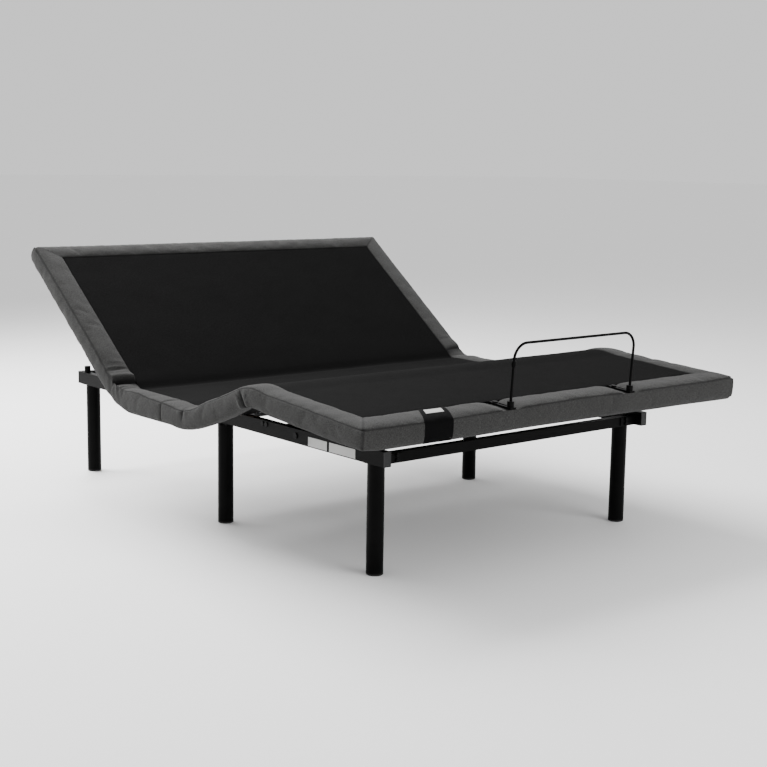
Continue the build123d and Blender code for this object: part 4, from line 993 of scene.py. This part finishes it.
def rest_turns(body):
    """The turns, in order, that take a flat section to its rest place."""
    thigh = (THIGH_PIVOT, -THIGH_TURN)
    return {"base": (), "head_section": ((HEAD_PIVOT, -HEAD_TURN),), "thigh_section": (thigh,),
            "leg_section": (thigh, (CREST_PIVOT, -CREST_TURN))}[body]


def laid_flat(points, body):
    """Rest points of a section, with the deck flat."""
    for centre, angle in reversed(rest_turns(body)):
        points = turned(points, centre, -angle)
    return points


def stood_up(points, body):
    """Flat points of a section, at rest."""
    for centre, angle in rest_turns(body):
        points = turned(points, centre, angle)
    return points


def dust_cover(section, body):
    """Black non-woven cloth stapled to the underside of a board."""
    board = laid_flat(node_points(section + "_board"), body)
    low, high = board.min(axis=0), board.max(axis=0)
    half = min(high[X_AXIS], HALF_WIDTH - WRAP) - DUST_MARGIN
    last = min(high[Y_AXIS] - DUST_MARGIN, POST_EDGE)
    ys = np.linspace(low[Y_AXIS] + DUST_MARGIN, last, DUST_GRID[1])
    xs = np.linspace(-half, half, DUST_GRID[0])
    grid_x, grid_y = np.meshgrid(xs, ys, indexing="ij")
    away = np.minimum(half - np.abs(grid_x), np.minimum(grid_y - ys[0], ys[-1] - grid_y))
    under = np.stack([grid_x, grid_y, np.full(grid_x.shape, low[Z_AXIS] - DUST_THICKNESS)], axis=2)
    sag = cloth_waves(under.reshape(-1, 3), DUST_SAG, DUST_WAVE).reshape(grid_x.shape)
    under[:, :, Z_AXIS] -= np.abs(sag) * np.clip(away / DUST_HELD, 0, 1)
    above = under.copy()
    above[:, :, Z_AXIS] = low[Z_AXIS] - DUST_GAP
    place = [stood_up(grid.reshape(-1, 3), body).reshape(grid.shape) for grid in (under, above)]
    piece, flat = slab(section + "_dust_cover", *place)
    dress(piece, "deck_cloth")
    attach(piece, body)
    staples(section, body, half - STAPLE_INSET, (ys[0] + STAPLE_INSET, ys[-1] - STAPLE_INSET),
            low[Z_AXIS] - DUST_THICKNESS)


def staple_spots(half, ends):
    """Where the staples round a dust cover lie, and which way each runs."""
    across = int(2 * half / STAPLE_PITCH)
    spots = [(-half + 2 * half * index / across, end, 0.0) for index in range(across + 1) for end in ends]
    down = max(2, int((ends[1] - ends[0]) / STAPLE_PITCH))
    return spots + [(x, ends[0] + (ends[1] - ends[0]) * index / down, math.pi / 2)
                    for index in range(1, down) for x in (-half, half)]


def staples(section, body, half, ends, height):
    """The staples round a dust cover."""
    points, faces = [], []
    span, wire = STAPLE_WIDTH / 2, STAPLE_WIRE
    inner = span - STAPLE_LEG
    outline = ((-span, STAPLE_LEG), (-span, -STAPLE_KNEE), (-inner, -wire), (inner, -wire),
               (span, -STAPLE_KNEE), (span, STAPLE_LEG), (inner, STAPLE_LEG), (inner, -STAPLE_INNER),
               (-inner, -STAPLE_INNER), (-inner, STAPLE_LEG))
    size = len(outline)
    for number, (x, y, turn) in enumerate(staple_spots(half, ends)):
        lean = turn + STAPLE_LEAN * noise.noise(Vector((number * 1.7, x * 9.0, y * 9.0)))
        first = len(points)
        for side in (-wire / 2, wire / 2):
            points += [(x + away * math.cos(lean) - side * math.sin(lean),
                        y + away * math.sin(lean) + side * math.cos(lean), height + rise)
                       for away, rise in outline]
        for i in range(size):
            n = (i + 1) % size
            faces.append((first + i, first + n, first + size + n, first + size + i))
        for quad in STAPLE_CAP:
            faces.append(tuple(first + q for q in reversed(quad)))
            faces.append(tuple(first + size + q for q in quad))
    piece = closed_mesh(section + "_staples", stood_up(np.array(points), body), faces)
    dress(piece, "zinc_steel")
    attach(piece, body)


for section, body in (("head", "head_section"), ("seat", "base"), ("thigh", "thigh_section"),
                      ("leg", "leg_section")):
    dust_cover(section, body)

# ------------ floor, light and camera
FLOOR_HALF, FLOOR_TONE, FLOOR_VARIES = 60.0, 0.95, 0.005
WORLD_STRENGTH = 0.95
AIM = (0.0, 0.0, 0.4)
LENS, SENSOR, SHIFT = 66.55, 36.0, (-0.0035, -0.0033)
EYE = (-2.9775, -3.73983, 1.1757)
YAW, PITCH, ROLL = math.radians(39.64), math.radians(9.03), math.radians(0.908)


def floor():
    """A plain pale floor."""
    corners = [(x * FLOOR_HALF, y * FLOOR_HALF, 0.0) for x, y in ((-1, -1), (1, -1), (1, 1), (-1, 1))]
    piece = new_mesh("floor", corners, [(0, 1, 2, 3)])
    material, tree, shader = principled("floor", (FLOOR_TONE,) * 3, 0.7)
    slow = grain(tree, stretched(tree, "Object", (2.0, 2.0, 2.0)), 1.0, 2.0)
    low, high = FLOOR_TONE - FLOOR_VARIES, FLOOR_TONE + FLOOR_VARIES
    tone = ramp(tree, slow, (0.3, (low,) * 3), (0.7, (high,) * 3))
    tree.links.new(tone, shader.inputs["Base Color"])
    piece.data.materials.append(material)


def area_light(name, place, size, power):
    """A soft rectangular lamp that faces the bed."""
    data = bpy.data.lights.new(name, "AREA")
    data.shape = "RECTANGLE"
    data.size, data.size_y = size
    data.energy = power
    lamp = bpy.data.objects.new(name, data)
    bpy.context.scene.collection.objects.link(lamp)
    lamp.location = place
    lamp.rotation_euler = (Vector(AIM) - Vector(place)).to_track_quat("-Z", "Y").to_euler()


def lights():
    """An even pale world, a large lamp over the head end and a weak one in front."""
    world = bpy.data.worlds.new("studio")
    world.use_nodes = True
    background = world.node_tree.nodes["Background"]
    background.inputs["Color"].default_value = (1.0, 1.0, 1.0, 1.0)
    background.inputs["Strength"].default_value = WORLD_STRENGTH
    bpy.context.scene.world = world
    area_light("overhead", (-0.6, 2.7, 3.3), (4.0, 2.6), 520.0)
    area_light("front", (1.0, -5.0, 1.7), (3.0, 2.0), 130.0)


def camera():
    """The camera stands off the foot's left corner, a little above the raised head."""
    right = Vector((math.cos(YAW), -math.sin(YAW), 0.0))
    ahead = Vector((math.sin(YAW) * math.cos(PITCH), math.cos(YAW) * math.cos(PITCH), -math.sin(PITCH)))
    up = right.cross(ahead)
    rolled_right = right * math.cos(ROLL) + up * math.sin(ROLL)
    rolled_up = up * math.cos(ROLL) - right * math.sin(ROLL)
    data = bpy.data.cameras.new("camera")
    data.sensor_width = SENSOR
    data.lens = LENS
    data.shift_x, data.shift_y = SHIFT
    eye = bpy.data.objects.new("camera", data)
    bpy.context.scene.collection.objects.link(eye)
    turn = Matrix((rolled_right, rolled_up, -ahead)).transposed().to_4x4()
    eye.matrix_world = Matrix.Translation(EYE) @ turn
    bpy.context.scene.camera = eye


floor()
lights()
camera()
